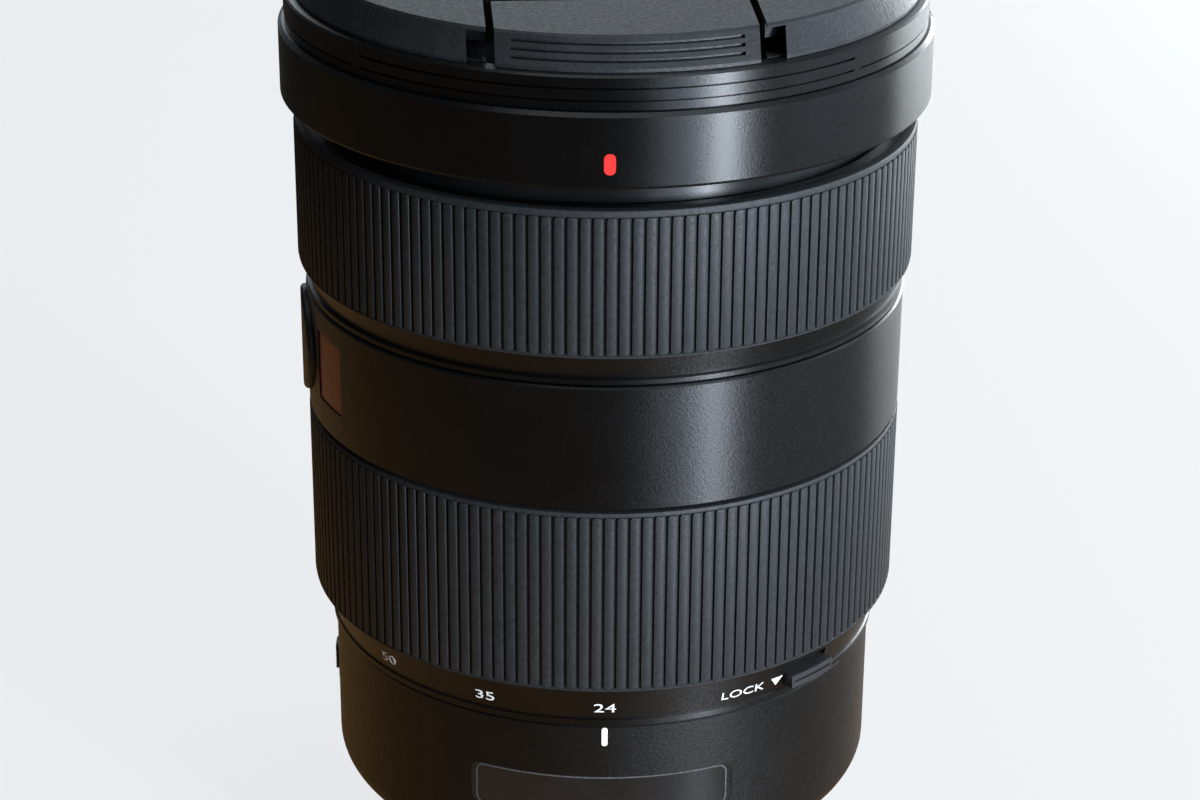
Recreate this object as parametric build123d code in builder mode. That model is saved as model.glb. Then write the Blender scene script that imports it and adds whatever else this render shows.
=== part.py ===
from build123d import *
import os
from math import atan2, cos, degrees, hypot, pi, radians, sin, sqrt

os.makedirs("parts", exist_ok=True)

# Zoom lens standing on its mount, front end up. The optical axis is Z, the side with
# the scale index faces -Y, and z = 0 is the tip of the bayonet tube. Millimetres.

# Lengths along the axis, from the mount to the front rim
tube_length = 4.4
flange_thickness = 2.5
neck_height = 16.1
shoulder_height = 5.0
straight_height = 19.5
seam_gap = 0.4
scale_height = 6.4
zoom_rubber_length = 26.2
middle_height = 17.2
cone_height = 3.9
focus_rubber_length = 19.8
front_gap = 3.2
front_ring_height = 9.8
hood_seat_height = 4.5

# Outer radii
flange_radius = 30.8
neck_radius = 32.0
rear_radius = 38.45
zoom_radius = 41.35
middle_radius = 41.3
focus_radius = 42.2
front_radius = 43.8
rim_step = 0.8
rim_wall = 2.35

# Walls and fits
shell_wall = 1.6
rubber_depth = 1.3
focus_wall = 1.7
zoom_lip = 0.94
sleeve_wall = 1.0
tube_wall = 1.1
run_fit = 0.06
seat_fit = 0.03
clear_fit = 0.3
cut_over = 2.0

# Movement
zoom_turn = 71.0
front_travel = 30.0
variator_travel = -2.5
relay_travel = 12.0
blade_count = 9
blade_turn = 22.0
iris_turn = 20.0

# Heights of the joints between the rings
flange_z = tube_length
neck_z = flange_z + flange_thickness
shoulder_z = neck_z + neck_height
straight_z = shoulder_z + shoulder_height
rear_top_z = straight_z + straight_height
zoom_z = rear_top_z + seam_gap
zoom_rubber_z = zoom_z + scale_height
zoom_top_z = zoom_rubber_z + zoom_rubber_length
middle_z = zoom_top_z + seam_gap
middle_top_z = middle_z + middle_height
focus_z = middle_top_z + seam_gap
focus_rubber_z = focus_z + cone_height
focus_top_z = focus_rubber_z + focus_rubber_length
front_z = focus_top_z + front_gap
front_top_z = front_z + front_ring_height
rim_z = front_top_z + hood_seat_height

# Radii of the nested tubes, worked out from the outer rings inwards
rim_radius = front_radius - rim_step
thread_radius = rim_radius - rim_wall
zoom_seat_radius = zoom_radius - rubber_depth
zoom_bead_radius = rear_radius + 0.5 * zoom_lip
zoom_bore = zoom_bead_radius - zoom_lip
rear_sleeve_radius = zoom_bore - run_fit
rear_sleeve_bore = rear_sleeve_radius - tube_wall
focus_seat_radius = focus_radius - rubber_depth
focus_bore = focus_seat_radius - focus_wall
front_sleeve_radius = focus_bore - run_fit
front_sleeve_bore = front_sleeve_radius - sleeve_wall
extension_radius = front_sleeve_bore - run_fit
extension_bore = extension_radius - sleeve_wall
cam_radius = rear_sleeve_bore - clear_fit
cam_bore = cam_radius - tube_wall
guide_radius = cam_bore - run_fit
guide_bore = guide_radius - tube_wall
cell_radius = guide_bore - run_fit

# Angles about the axis, measured from +X; the scale index is at -90
index_angle = -90.0
follower_angles = (90.0, 210.0, 330.0)
strut_angles = (30.0, 150.0, 270.0)


def around(radius, angle, z=0.0):
    """Point at a radius and an angle about the axis."""
    return (radius * cos(radians(angle)), radius * sin(radians(angle)), z)


def facing(radius, angle, z):
    """Plane that touches a cylinder at an angle and looks outwards, x along the girth."""
    return Plane(origin=around(radius, angle, z), x_dir=around(1, angle + 90),
                 z_dir=around(1, angle))


def sector(r_in, r_out, middle, span, z0, z1):
    """Solid slice of a ring, centred on an angle."""
    with BuildPart() as piece:
        with BuildSketch(Plane.XY.offset(z0)):
            with BuildLine():
                outer = CenterArc((0, 0), r_out, middle - span / 2, span)
                inner = CenterArc((0, 0), r_in, middle - span / 2, span)
                Line(outer @ 0, inner @ 0)
                Line(outer @ 1, inner @ 1)
            make_face()
        extrude(amount=z1 - z0)
    return piece.part


def inlay(angle, z, width, height, corner, r_in, r_out):
    """Plate with rounded corners that follows the barrel between two radii."""
    with BuildPart() as piece:
        with BuildSketch(facing(r_out + cut_over, angle, z)):
            RectangleRounded(width, height, corner)
        extrude(amount=-r_out)
        with Locations((0, 0, z)):
            Cylinder(r_out, 2 * height, mode=Mode.INTERSECT)
            Cylinder(r_in, 3 * height, mode=Mode.SUBTRACT)
    return piece.part


def revolved(points):
    """Ring turned from a closed outline of (radius, height) points."""
    with BuildPart() as piece:
        with BuildSketch(Plane.XZ):
            with BuildLine():
                Polyline(*points, close=True)
            make_face()
        revolve(axis=Axis.Z)
    return piece.part


def sag(x, radius, depth):
    """Depth at distance x of a spherical surface that is `depth` deep at `radius`."""
    ball = (radius ** 2 + depth ** 2) / (2 * abs(depth))
    return (ball - sqrt(ball ** 2 - x ** 2)) * (1 if depth > 0 else -1)


def lens(radius, front_z, front_sag, back_z, back_sag):
    """Round glass between two spherical surfaces; a negative sag is hollow."""
    half = radius / 2
    with BuildPart() as glass:
        with BuildSketch(Plane.XZ):
            with BuildLine():
                front = ThreePointArc((0, front_z), (half, front_z - sag(half, radius, front_sag)),
                                      (radius, front_z - front_sag))
                back = ThreePointArc((0, back_z), (half, back_z + sag(half, radius, back_sag)),
                                     (radius, back_z + back_sag))
                Line(front @ 1, back @ 1)
                Line(back @ 0, front @ 0)
            make_face()
        revolve(axis=Axis.Z)
    return glass.part


# Mount ring: turned brass flange, tube and three bayonet lugs in one piece
tube_radius = 21.6
tube_bore = 19.6
lug_radius = 23.0
lug_low = 1.9
lug_high = 3.2
lug_span = 52.0
lug_angles = (-30.0, 90.0, 210.0)
face_relief = 0.1
screw_circle = 26.6
screw_angles = (45.0, 135.0, 225.0, 315.0)
screw_shank = 0.9
screw_head = 1.8
screw_head_depth = 1.1
lock_notch_angle = 168.0
lock_notch_width = 4.0
lock_notch_depth = 1.5

mount_lugs = [sector(tube_radius - sleeve_wall, lug_radius, angle, lug_span, lug_low, lug_high)
              for angle in lug_angles]
with BuildPart() as mount_ring:
    add(revolved([
        (tube_bore, 0), (tube_radius, 0), (tube_radius, flange_z + face_relief),
        (lug_radius + face_relief, flange_z + face_relief), (lug_radius + face_relief, flange_z),
        (flange_radius, flange_z), (flange_radius, neck_z), (tube_bore, neck_z)]))
    add(mount_lugs)
    with BuildSketch(Plane.XY.offset(flange_z)):
        with PolarLocations(screw_circle, len(screw_angles), screw_angles[0]):
            Circle(screw_head + seat_fit)
    extrude(amount=screw_head_depth + seat_fit, mode=Mode.SUBTRACT)
    with BuildSketch(Plane.XY.offset(flange_z)):
        with PolarLocations(screw_circle, len(screw_angles), screw_angles[0]):
            Circle(screw_shank + seat_fit)
    extrude(amount=flange_thickness, mode=Mode.SUBTRACT)
    with BuildSketch(Plane.XY.offset(flange_z)):
        with Locations(around(screw_circle, lock_notch_angle)):
            SlotOverall(lock_notch_width, lock_notch_depth * 2, rotation=lock_notch_angle)
    extrude(amount=lock_notch_depth, mode=Mode.SUBTRACT)
mount_ring.part.label = "mount_ring"
export_step(mount_ring.part, "parts/mount_ring.step")

# Floor of the rear barrel, which the mount ring is screwed to
floor_thickness = 2.5
floor_z = neck_z + floor_thickness
floor_bore = 22.0
screw_grip = 2.0

# Mount screws: four countersunk machine screws
with BuildPart() as mount_screws:
    with BuildSketch(Plane.XY.offset(flange_z + seat_fit)):
        with PolarLocations(screw_circle, len(screw_angles), screw_angles[0]):
            Circle(screw_head)
    extrude(amount=screw_head_depth)
    with BuildSketch(Plane.XY.offset(flange_z + seat_fit)):
        with PolarLocations(screw_circle, len(screw_angles), screw_angles[0]):
            Circle(screw_shank)
    extrude(amount=flange_thickness + screw_grip)
    with BuildSketch(Plane.XY.offset(flange_z + seat_fit)):
        with PolarLocations(screw_circle, len(screw_angles), screw_angles[0]):
            Rectangle(screw_head, screw_head / 4)
            Rectangle(screw_head / 4, screw_head)
    extrude(amount=screw_head_depth / 2, mode=Mode.SUBTRACT)
mount_screws.part.label = "mount_screws"
export_step(mount_screws.part, "parts/mount_screws.step")

# Rubber skirt round the flange, which keeps rain out of the joint with the camera
skirt_depth = 1.0
with BuildPart() as mount_gasket:
    add(revolved([
        (flange_radius + seat_fit, flange_z + face_relief), (neck_radius, flange_z + face_relief),
        (neck_radius, neck_z), (flange_radius + seat_fit, neck_z)]))
    fillet(mount_gasket.edges().group_by(Axis.Z)[0].sort_by(SortBy.LENGTH)[-1],
           radius=skirt_depth / 4)
mount_gasket.part.label = "mount_gasket"
export_step(mount_gasket.part, "parts/mount_gasket.step")

# Rear baffle: black plastic funnel in the tube that shades the last glass
baffle_z = 2.4
baffle_thickness = 1.4
baffle_bore = 15.5
baffle_wall = 1.3
baffle_window = (26.0, 18.0)
baffle_radius = tube_bore - seat_fit
with BuildPart() as rear_baffle:
    add(revolved([
        (baffle_bore, baffle_z + baffle_thickness), (baffle_radius, baffle_z + baffle_thickness),
        (baffle_radius, baffle_z), (0, baffle_z), (0, baffle_z + baffle_thickness / 2),
        (baffle_bore - baffle_wall, baffle_z + baffle_thickness / 2),
        (baffle_bore - baffle_wall, floor_z), (baffle_bore, floor_z)]))
    with BuildSketch(Plane.XY.offset(baffle_z)):
        RectangleRounded(*baffle_window, baffle_wall)
    extrude(amount=baffle_thickness, mode=Mode.SUBTRACT)
rear_baffle.part.label = "rear_baffle"
export_step(rear_baffle.part, "parts/rear_baffle.step")

# Contact block with ten sprung contacts, at the back of the tube
contact_angle = 90.0
contact_span = 74.0
contact_low = 0.5
contact_depth = 3.4
contact_count = 10
contact_radius = 0.75
contact_proud = 0.3
contact_circle = baffle_radius - contact_depth / 2
block_span = contact_span * (contact_count + 1) / contact_count
with BuildPart() as contact_block:
    add(sector(baffle_radius - contact_depth, baffle_radius, contact_angle, block_span,
               contact_low, baffle_z))
    with BuildSketch(Plane.XY.offset(contact_low)):
        with PolarLocations(contact_circle, contact_count, contact_angle - contact_span / 2,
                            contact_span, endpoint=True):
            Circle(contact_radius + seat_fit)
    extrude(amount=baffle_z - contact_low, mode=Mode.SUBTRACT)
contact_block.part.label = "contact_block"
export_step(contact_block.part, "parts/contact_block.step")

with BuildPart() as contact_pins:
    with BuildSketch(Plane.XY.offset(contact_low - contact_proud)):
        with PolarLocations(contact_circle, contact_count, contact_angle - contact_span / 2,
                            contact_span, endpoint=True):
            Circle(contact_radius)
    extrude(amount=baffle_z - contact_low + contact_proud)
    fillet(contact_pins.edges().group_by(Axis.Z)[0], radius=contact_proud / 2)
contact_pins.part.label = "contact_pins"
export_step(contact_pins.part, "parts/contact_pins.step")

# Rear barrel: the fixed outer shell with the name plate and the focus switch
shelf_z = rear_top_z - 4.0 * sleeve_wall
shelf_thickness = 1.5
shelf_bore = guide_bore - tube_wall
rear_bore = rear_radius - shell_wall
neck_bore = neck_radius - shell_wall
shoulder_width = rear_radius - neck_radius
shoulder_inner = shoulder_height - shell_wall
edge_break = 0.25
guide_foot = 1.4

plate_angle = index_angle
plate_width = 35.6
plate_height = 6.5
plate_corner = 1.4
plate_drop = 4.8
plate_depth = 0.3
plate_z = rear_top_z - plate_drop - plate_corner - plate_height / 2 - shell_wall

switch_angle = 180.0
switch_drop = 8.4
switch_z = rear_top_z - switch_drop
switch_width = 7.0
switch_height = 13.0
switch_corner = 1.0
switch_depth = 0.5
switch_slot = (3.5, 7.3)
knob_size = (3.3, 3.9)
knob_proud = 0.5
knob_travel = 3.0

plate_pocket = inlay(plate_angle, plate_z, plate_width + 2 * seat_fit, plate_height + 2 * seat_fit,
                     plate_corner, rear_radius - plate_depth, rear_radius + cut_over)
switch_pocket = inlay(switch_angle, switch_z, switch_width + 2 * seat_fit,
                      switch_height + 2 * seat_fit, switch_corner, rear_radius - 2 * switch_depth,
                      rear_radius + cut_over)
with BuildPart() as rear_barrel:
    with BuildSketch(Plane.XZ):
        with BuildLine():
            Polyline((floor_bore, floor_z), (floor_bore, neck_z), (neck_radius, neck_z),
                     (neck_radius, shoulder_z))
            EllipticalCenterArc((neck_radius, straight_z), shoulder_width, shoulder_height,
                                start_angle=270, arc_size=90)
            Polyline((rear_radius, straight_z), (rear_radius, rear_top_z - edge_break),
                     (rear_radius - edge_break, rear_top_z), (rear_bore, rear_top_z),
                     (rear_bore, shelf_z + shelf_thickness), (shelf_bore, shelf_z + shelf_thickness),
                     (shelf_bore, shelf_z), (rear_bore, shelf_z), (rear_bore, straight_z))
            EllipticalCenterArc((neck_bore, straight_z), shoulder_width, shoulder_inner,
                                start_angle=270, arc_size=90)
            Polyline((neck_bore, shoulder_z + shell_wall), (neck_bore, floor_z), (floor_bore, floor_z))
        make_face()
    revolve(axis=Axis.Z)
    add(plate_pocket, mode=Mode.SUBTRACT)
    add(switch_pocket, mode=Mode.SUBTRACT)
    with BuildSketch(Plane.XY.offset(neck_z)):
        with PolarLocations(screw_circle, len(screw_angles), screw_angles[0]):
            Circle(screw_shank + seat_fit)
    extrude(amount=screw_grip + clear_fit, mode=Mode.SUBTRACT)
rear_barrel.part.label = "rear_barrel"
export_step(rear_barrel.part, "parts/rear_barrel.step")

name_plate = inlay(plate_angle, plate_z, plate_width, plate_height, plate_corner,
                   rear_radius - plate_depth, rear_radius - plate_depth / 4)
name_plate.label = "name_plate"
export_step(name_plate, "parts/name_plate.step")

# Focus switch: an escutcheon let into the barrel and a knob that slides along the axis
with BuildPart() as switch_plate:
    add(inlay(switch_angle, switch_z, switch_width, switch_height, switch_corner,
              rear_radius - 2 * switch_depth, rear_radius - switch_depth / 5))
    with BuildSketch(facing(rear_radius + cut_over, switch_angle, switch_z)):
        RectangleRounded(*switch_slot, switch_corner / 2)
    extrude(amount=-rear_radius / 2, mode=Mode.SUBTRACT)
switch_plate.part.label = "switch_plate"
export_step(switch_plate.part, "parts/switch_plate.step")

knob_z = switch_z - knob_travel / 2
with BuildPart() as mode_switch:
    add(inlay(switch_angle, knob_z, *knob_size, switch_corner / 2,
              rear_radius - 2 * switch_depth + run_fit, rear_radius + knob_proud))
    groove_pitch = knob_size[1] / 5
    with BuildSketch(facing(rear_radius + knob_proud, switch_angle, knob_z)):
        with GridLocations(0, groove_pitch, 1, 3):
            Rectangle(knob_size[0] * 2, groove_pitch / 3)
    extrude(amount=-knob_proud / 2, both=True, mode=Mode.SUBTRACT)
mode_switch.part.label = "mode_switch"
export_step(mode_switch.part, "parts/mode_switch.step")

# Circuit board ring on the barrel floor, with chips, and the ribbon to the contacts
board_thickness = 1.2
board_radius = neck_bore - clear_fit
board_bore = floor_bore + sleeve_wall
board_gap = 40.0
chip_height = 1.2
chip_sizes = ((6.0, 6.0), (5.0, 7.0), (4.0, 4.0), (3.0, 5.0), (6.0, 4.0))
chip_circle = (board_radius + board_bore) / 2
board_top_z = floor_z + board_thickness
with BuildPart() as main_board:
    add(sector(board_bore, board_radius, index_angle, 360 - board_gap, floor_z, board_top_z))
    for number, (width, length) in enumerate(chip_sizes):
        angle = index_angle + (number - 2) * (360 - 2 * board_gap) / len(chip_sizes)
        with BuildSketch(Plane.XY.offset(board_top_z)):
            with Locations(around(chip_circle, angle)):
                Rectangle(width, length, rotation=angle)
        extrude(amount=chip_height)
main_board.part.label = "main_board"
export_step(main_board.part, "parts/main_board.step")

ribbon_thickness = 0.15
ribbon_width = 9.0
ribbon_inner = baffle_bore + 2 * ribbon_thickness
with BuildPart() as board_flex:
    with BuildSketch(Plane.YZ):
        with BuildLine():
            Polyline((ribbon_inner, baffle_z + baffle_thickness),
                     (ribbon_inner, board_top_z + ribbon_thickness),
                     (board_radius, board_top_z + ribbon_thickness),
                     (board_radius, board_top_z),
                     (ribbon_inner + ribbon_thickness, board_top_z),
                     (ribbon_inner + ribbon_thickness, baffle_z + baffle_thickness), close=True)
        make_face()
    extrude(amount=ribbon_width / 2, both=True)
board_flex.part.label = "board_flex"
export_step(board_flex.part, "parts/board_flex.step")

# Heights of the pins that carry the moving groups, at the shortest setting
pin_radius = 1.4
pin_slot_radius = pin_radius + clear_fit / 2
relay_pin_z = zoom_rubber_z + 2.0 * pin_radius
variator_pin_z = middle_z + sleeve_wall
front_pin_z = variator_pin_z + 4.3 * pin_radius
key_height = 4.0
key_z = (relay_pin_z + relay_travel + variator_pin_z + variator_travel) / 2
key_width = 6.0
key_angle = 20.0

# Middle barrel: outer shell and the two sleeves that the zoom and focus rings run on
web_thickness = 1.7
middle_bore = middle_radius - tube_wall
sleeve_top_z = focus_top_z - sleeve_wall
web_top_z = middle_z + web_thickness
seal_height = 1.5
seal_depth = 0.5
seal_z = sleeve_top_z - sleeve_wall - seal_height

badge_angle = index_angle - 63.7
badge_z = middle_z + middle_height * 0.53
badge_width = 7.9
badge_height = 9.8
badge_corner = 0.4
badge_depth = 0.5

button_angle = index_angle - 83.0
button_z = middle_z + middle_height * 0.53
button_radius = 7.3
button_proud = 0.8
button_travel = 0.6
button_gap = 0.12
button_root = front_sleeve_radius + button_travel + 2 * run_fit
button_wall = 1.2
button_round = 0.6

key_arc = degrees(key_width / rear_sleeve_radius)
key_play = 1.0
key_window = sector(rear_sleeve_bore - cut_over, rear_sleeve_radius + cut_over / 4,
                    key_angle + zoom_turn / 2, zoom_turn + key_arc + key_play,
                    key_z - key_height / 2 - clear_fit, key_z + key_height / 2 + clear_fit)
badge_pocket = inlay(badge_angle, badge_z, badge_width + 2 * seat_fit, badge_height + 2 * seat_fit,
                     badge_corner, middle_radius - badge_depth, middle_radius + cut_over)
with BuildPart() as middle_barrel:
    add(revolved([
        (rear_sleeve_bore, rear_top_z), (rear_sleeve_radius, rear_top_z),
        (rear_sleeve_radius, middle_z), (middle_radius - edge_break, middle_z),
        (middle_radius, middle_z + edge_break), (middle_radius, middle_top_z - edge_break),
        (middle_radius - edge_break, middle_top_z), (middle_bore, middle_top_z),
        (middle_bore, web_top_z), (front_sleeve_radius, web_top_z),
        (front_sleeve_radius, sleeve_top_z), (front_sleeve_bore, sleeve_top_z),
        (front_sleeve_bore, seal_z + seal_height), (front_sleeve_bore + seal_depth,
                                                    seal_z + seal_height),
        (front_sleeve_bore + seal_depth, seal_z), (front_sleeve_bore, seal_z),
        (front_sleeve_bore, web_top_z), (rear_sleeve_bore, web_top_z)]))
    add(key_window, mode=Mode.SUBTRACT)
    add(badge_pocket, mode=Mode.SUBTRACT)
    with BuildSketch(facing(middle_radius + cut_over, button_angle, button_z)):
        Circle(button_radius + button_gap)
    extrude(amount=-(cut_over + middle_radius - front_sleeve_radius - run_fit),
            mode=Mode.SUBTRACT)
middle_barrel.part.label = "middle_barrel"
export_step(middle_barrel.part, "parts/middle_barrel.step")

badge_inlay = inlay(badge_angle, badge_z, badge_width, badge_height, badge_corner,
                    middle_radius - badge_depth, middle_radius - badge_depth / 3)
badge_inlay.label = "badge_inlay"
export_step(badge_inlay, "parts/badge_inlay.step")

# Hold button: round, follows the barrel, pressed against a dome switch under it
dome_radius = 2.6
dome_height = 1.0
with BuildPart() as hold_switch:
    with BuildSketch(facing(front_sleeve_radius + dome_height, button_angle, button_z)):
        Circle(dome_radius)
    extrude(amount=-2 * dome_height)
    Cylinder(front_sleeve_radius, 3 * middle_top_z, mode=Mode.SUBTRACT)
hold_switch.part.label = "hold_switch"
export_step(hold_switch.part, "parts/hold_switch.step")

with BuildPart() as hold_button:
    with BuildSketch(facing(middle_radius + cut_over, button_angle, button_z)):
        Circle(button_radius)
    extrude(amount=-2 * cut_over - middle_radius + middle_bore)
    Cylinder(middle_radius + button_proud, 3 * middle_top_z, mode=Mode.INTERSECT)
    button_face = hold_button.faces().sort_by(Axis((0, 0, 0), facing(0, button_angle, 0).z_dir))[-1]
    fillet(button_face.edges(), radius=button_round)
    Cylinder(button_root, 3 * middle_top_z, mode=Mode.SUBTRACT)
    with BuildSketch(facing(front_sleeve_radius, button_angle, button_z)):
        Circle(button_radius - button_wall)
    extrude(amount=dome_height + button_travel + clear_fit, mode=Mode.SUBTRACT)
hold_button.part.label = "hold_button"
export_step(hold_button.part, "parts/hold_button.step")

# Guide tube: fixed inner tube whose straight slots stop the moving groups from turning
guide_foot_z = shelf_z + shelf_thickness
slot_margin = 1.3
guide_top_z = front_pin_z + front_travel + pin_slot_radius + slot_margin
pin_paths = ((relay_pin_z, relay_travel), (variator_pin_z, variator_travel),
             (front_pin_z, front_travel))
with BuildPart() as guide_tube:
    add(revolved([
        (guide_bore, guide_foot_z), (rear_bore - seat_fit, guide_foot_z),
        (rear_bore - seat_fit, guide_foot_z + guide_foot), (guide_radius, guide_foot_z + guide_foot),
        (guide_radius, guide_top_z), (guide_bore, guide_top_z)]))
    for pin_z, travel in pin_paths:
        with BuildSketch(*[facing(guide_radius, angle, pin_z + travel / 2)
                           for angle in follower_angles]):
            SlotCenterToCenter(abs(travel), 2 * pin_slot_radius, rotation=90)
        extrude(amount=2 * tube_wall, both=True, mode=Mode.SUBTRACT)
guide_tube.part.label = "guide_tube"
export_step(guide_tube.part, "parts/guide_tube.step")

# Felt ring in the mouth of the front sleeve, which wipes the sliding tube
with BuildPart() as front_seal:
    add(revolved([
        (front_sleeve_bore, seal_z + seat_fit),
        (front_sleeve_bore + seal_depth - seat_fit, seal_z + seat_fit),
        (front_sleeve_bore + seal_depth - seat_fit, seal_z + seal_height - seat_fit),
        (front_sleeve_bore, seal_z + seal_height - seat_fit)]))
front_seal.part.label = "front_seal"
export_step(front_seal.part, "parts/front_seal.step")

# Zoom ring: carries the scale on a cone under its rubber, with a slot for the lock
bead_height = 0.8
bead_step = 0.2
lock_angle = index_angle + 45.2
lock_span = 11.6
lock_height = 1.85
lock_travel = 0.8
lock_proud = 0.6
lock_groove = 0.35
lock_z = zoom_z + 2 * bead_height
lock_floor = zoom_bore + clear_fit
lock_radius = zoom_seat_radius + lock_proud
lock_gap = 0.35
key_root = cam_bore + bead_step
key_seat = zoom_bore + zoom_lip
lock_slot = sector(lock_floor, zoom_radius, lock_angle, lock_span + lock_gap,
                   lock_z - lock_gap / 2, lock_z + lock_height + lock_travel + lock_gap / 2)
key_pocket = sector(zoom_bore - cut_over / 2, key_seat + seat_fit, key_angle,
                    key_arc + seat_fit, key_z - key_height / 2 - seat_fit,
                    key_z + key_height / 2 + seat_fit)
with BuildPart() as zoom_ring:
    add(revolved([
        (zoom_bore, zoom_z), (zoom_bead_radius, zoom_z),
        (zoom_bead_radius, zoom_z + bead_height),
        (zoom_bead_radius - bead_step, zoom_z + bead_height + bead_step),
        (zoom_seat_radius - bead_step, zoom_rubber_z - bead_step),
        (zoom_seat_radius - bead_step, zoom_rubber_z), (zoom_seat_radius, zoom_rubber_z),
        (zoom_seat_radius, zoom_top_z), (zoom_bore, zoom_top_z)]))
    add(lock_slot, mode=Mode.SUBTRACT)
    add(key_pocket, mode=Mode.SUBTRACT)
zoom_ring.part.label = "zoom_ring"
export_step(zoom_ring.part, "parts/zoom_ring.step")

# Zoom lock: a ridged slider in the scale cone that moves along the axis
with BuildPart() as zoom_lock:
    add(sector(lock_floor + run_fit, lock_radius, lock_angle, lock_span, lock_z,
               lock_z + lock_height))
    add(sector(lock_radius - lock_groove, lock_radius + cut_over, lock_angle, lock_span * 0.88,
               lock_z + lock_height * 0.42, lock_z + lock_height * 0.58), mode=Mode.SUBTRACT)
zoom_lock.part.label = "zoom_lock"
export_step(zoom_lock.part, "parts/zoom_lock.step")


def ribbed(r_in, r_out, z0, z1, count):
    """Moulded rubber grip: a thin band with a smooth lip at each end and ribs between."""
    rib_depth = rubber_depth * 0.33
    top_lip = 0.7 * rubber_depth
    low_lip = rubber_depth / 4
    rib_width = 2 * pi * r_out / count * 0.74
    with BuildPart() as grip:
        with BuildSketch(Plane.XY.offset(z0)):
            Circle(r_out - rib_depth / 2)
            Circle(r_in, mode=Mode.SUBTRACT)
        extrude(amount=low_lip)
        with BuildSketch(Plane.XY.offset(z1 - top_lip)):
            Circle(r_out - rib_depth / 4)
            Circle(r_in, mode=Mode.SUBTRACT)
        extrude(amount=top_lip)
        with BuildSketch(Plane.XY.offset(z0 + low_lip)):
            Circle(r_out - rib_depth)
            Circle(r_in, mode=Mode.SUBTRACT)
            with PolarLocations(r_out - rib_depth, count):
                Rectangle(2 * rib_depth, rib_width)
        extrude(amount=z1 - top_lip - z0 - low_lip)
    return grip.part


# Zoom rubber
zoom_rib_count = 158
with BuildPart() as zoom_rubber:
    add(ribbed(zoom_seat_radius, zoom_radius, zoom_rubber_z, zoom_top_z, zoom_rib_count))
zoom_rubber.part.label = "zoom_rubber"
export_step(zoom_rubber.part, "parts/zoom_rubber.step")

# Cam tube: turns with the zoom ring; its slanted slots push the pins along the axis
cam_low_z = guide_foot_z + guide_foot + clear_fit
cam_steps = 12
with BuildPart() as cam_tube:
    add(revolved([(cam_bore, cam_low_z), (cam_radius, cam_low_z), (cam_radius, guide_top_z),
                  (cam_bore, guide_top_z)]))
    for pin_z, travel in pin_paths:
        run = cam_radius * radians(zoom_turn) / cam_steps
        rise = travel / cam_steps
        step_planes = []
        for angle in follower_angles:
            for step in range(cam_steps):
                share = (step + 0.5) / cam_steps
                middle = angle - zoom_turn * share
                along = Vector(*around(-run, middle + 90, rise))
                step_planes.append(Plane(
                    origin=around(cam_radius, middle, pin_z + travel * share),
                    x_dir=along, z_dir=around(1, middle)))
        with BuildSketch(*step_planes):
            SlotCenterToCenter(hypot(run, rise), 2 * pin_slot_radius)
        extrude(amount=tube_wall * 1.5, both=True, mode=Mode.SUBTRACT)
    add(sector(cam_bore - cut_over / 2, cam_radius + cut_over / 2, key_angle, key_arc + clear_fit,
               key_z - key_height / 2 - seat_fit, key_z + key_height / 2 + seat_fit),
        mode=Mode.SUBTRACT)
cam_tube.part.label = "cam_tube"
export_step(cam_tube.part, "parts/cam_tube.step")

# Drive key: joins the zoom ring to the cam tube through a window in the rear sleeve
with BuildPart() as drive_key:
    add(sector(key_root, key_seat, key_angle, key_arc, key_z - key_height / 2,
               key_z + key_height / 2))
drive_key.part.label = "drive_key"
export_step(drive_key.part, "parts/drive_key.step")

# Focus ring: runs on the front sleeve; a smooth cone leads down to the seam
focus_rib_count = 162
focus_cone_drop = 0.6
with BuildPart() as focus_ring:
    add(revolved([
        (focus_bore, focus_z), (middle_radius - edge_break / 2, focus_z),
        (middle_radius - edge_break / 2, focus_z + bead_height - bead_step),
        (middle_radius - focus_cone_drop, focus_z + bead_height),
        (middle_radius + bead_step, focus_rubber_z), (focus_seat_radius, focus_rubber_z),
        (focus_seat_radius, focus_top_z - bead_step), (focus_bore, focus_top_z - bead_step)]))
focus_ring.part.label = "focus_ring"
export_step(focus_ring.part, "parts/focus_ring.step")

with BuildPart() as focus_rubber:
    add(ribbed(focus_seat_radius, focus_radius, focus_rubber_z, focus_top_z, focus_rib_count))
focus_rubber.part.label = "focus_rubber"
export_step(focus_rubber.part, "parts/focus_rubber.step")

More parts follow.
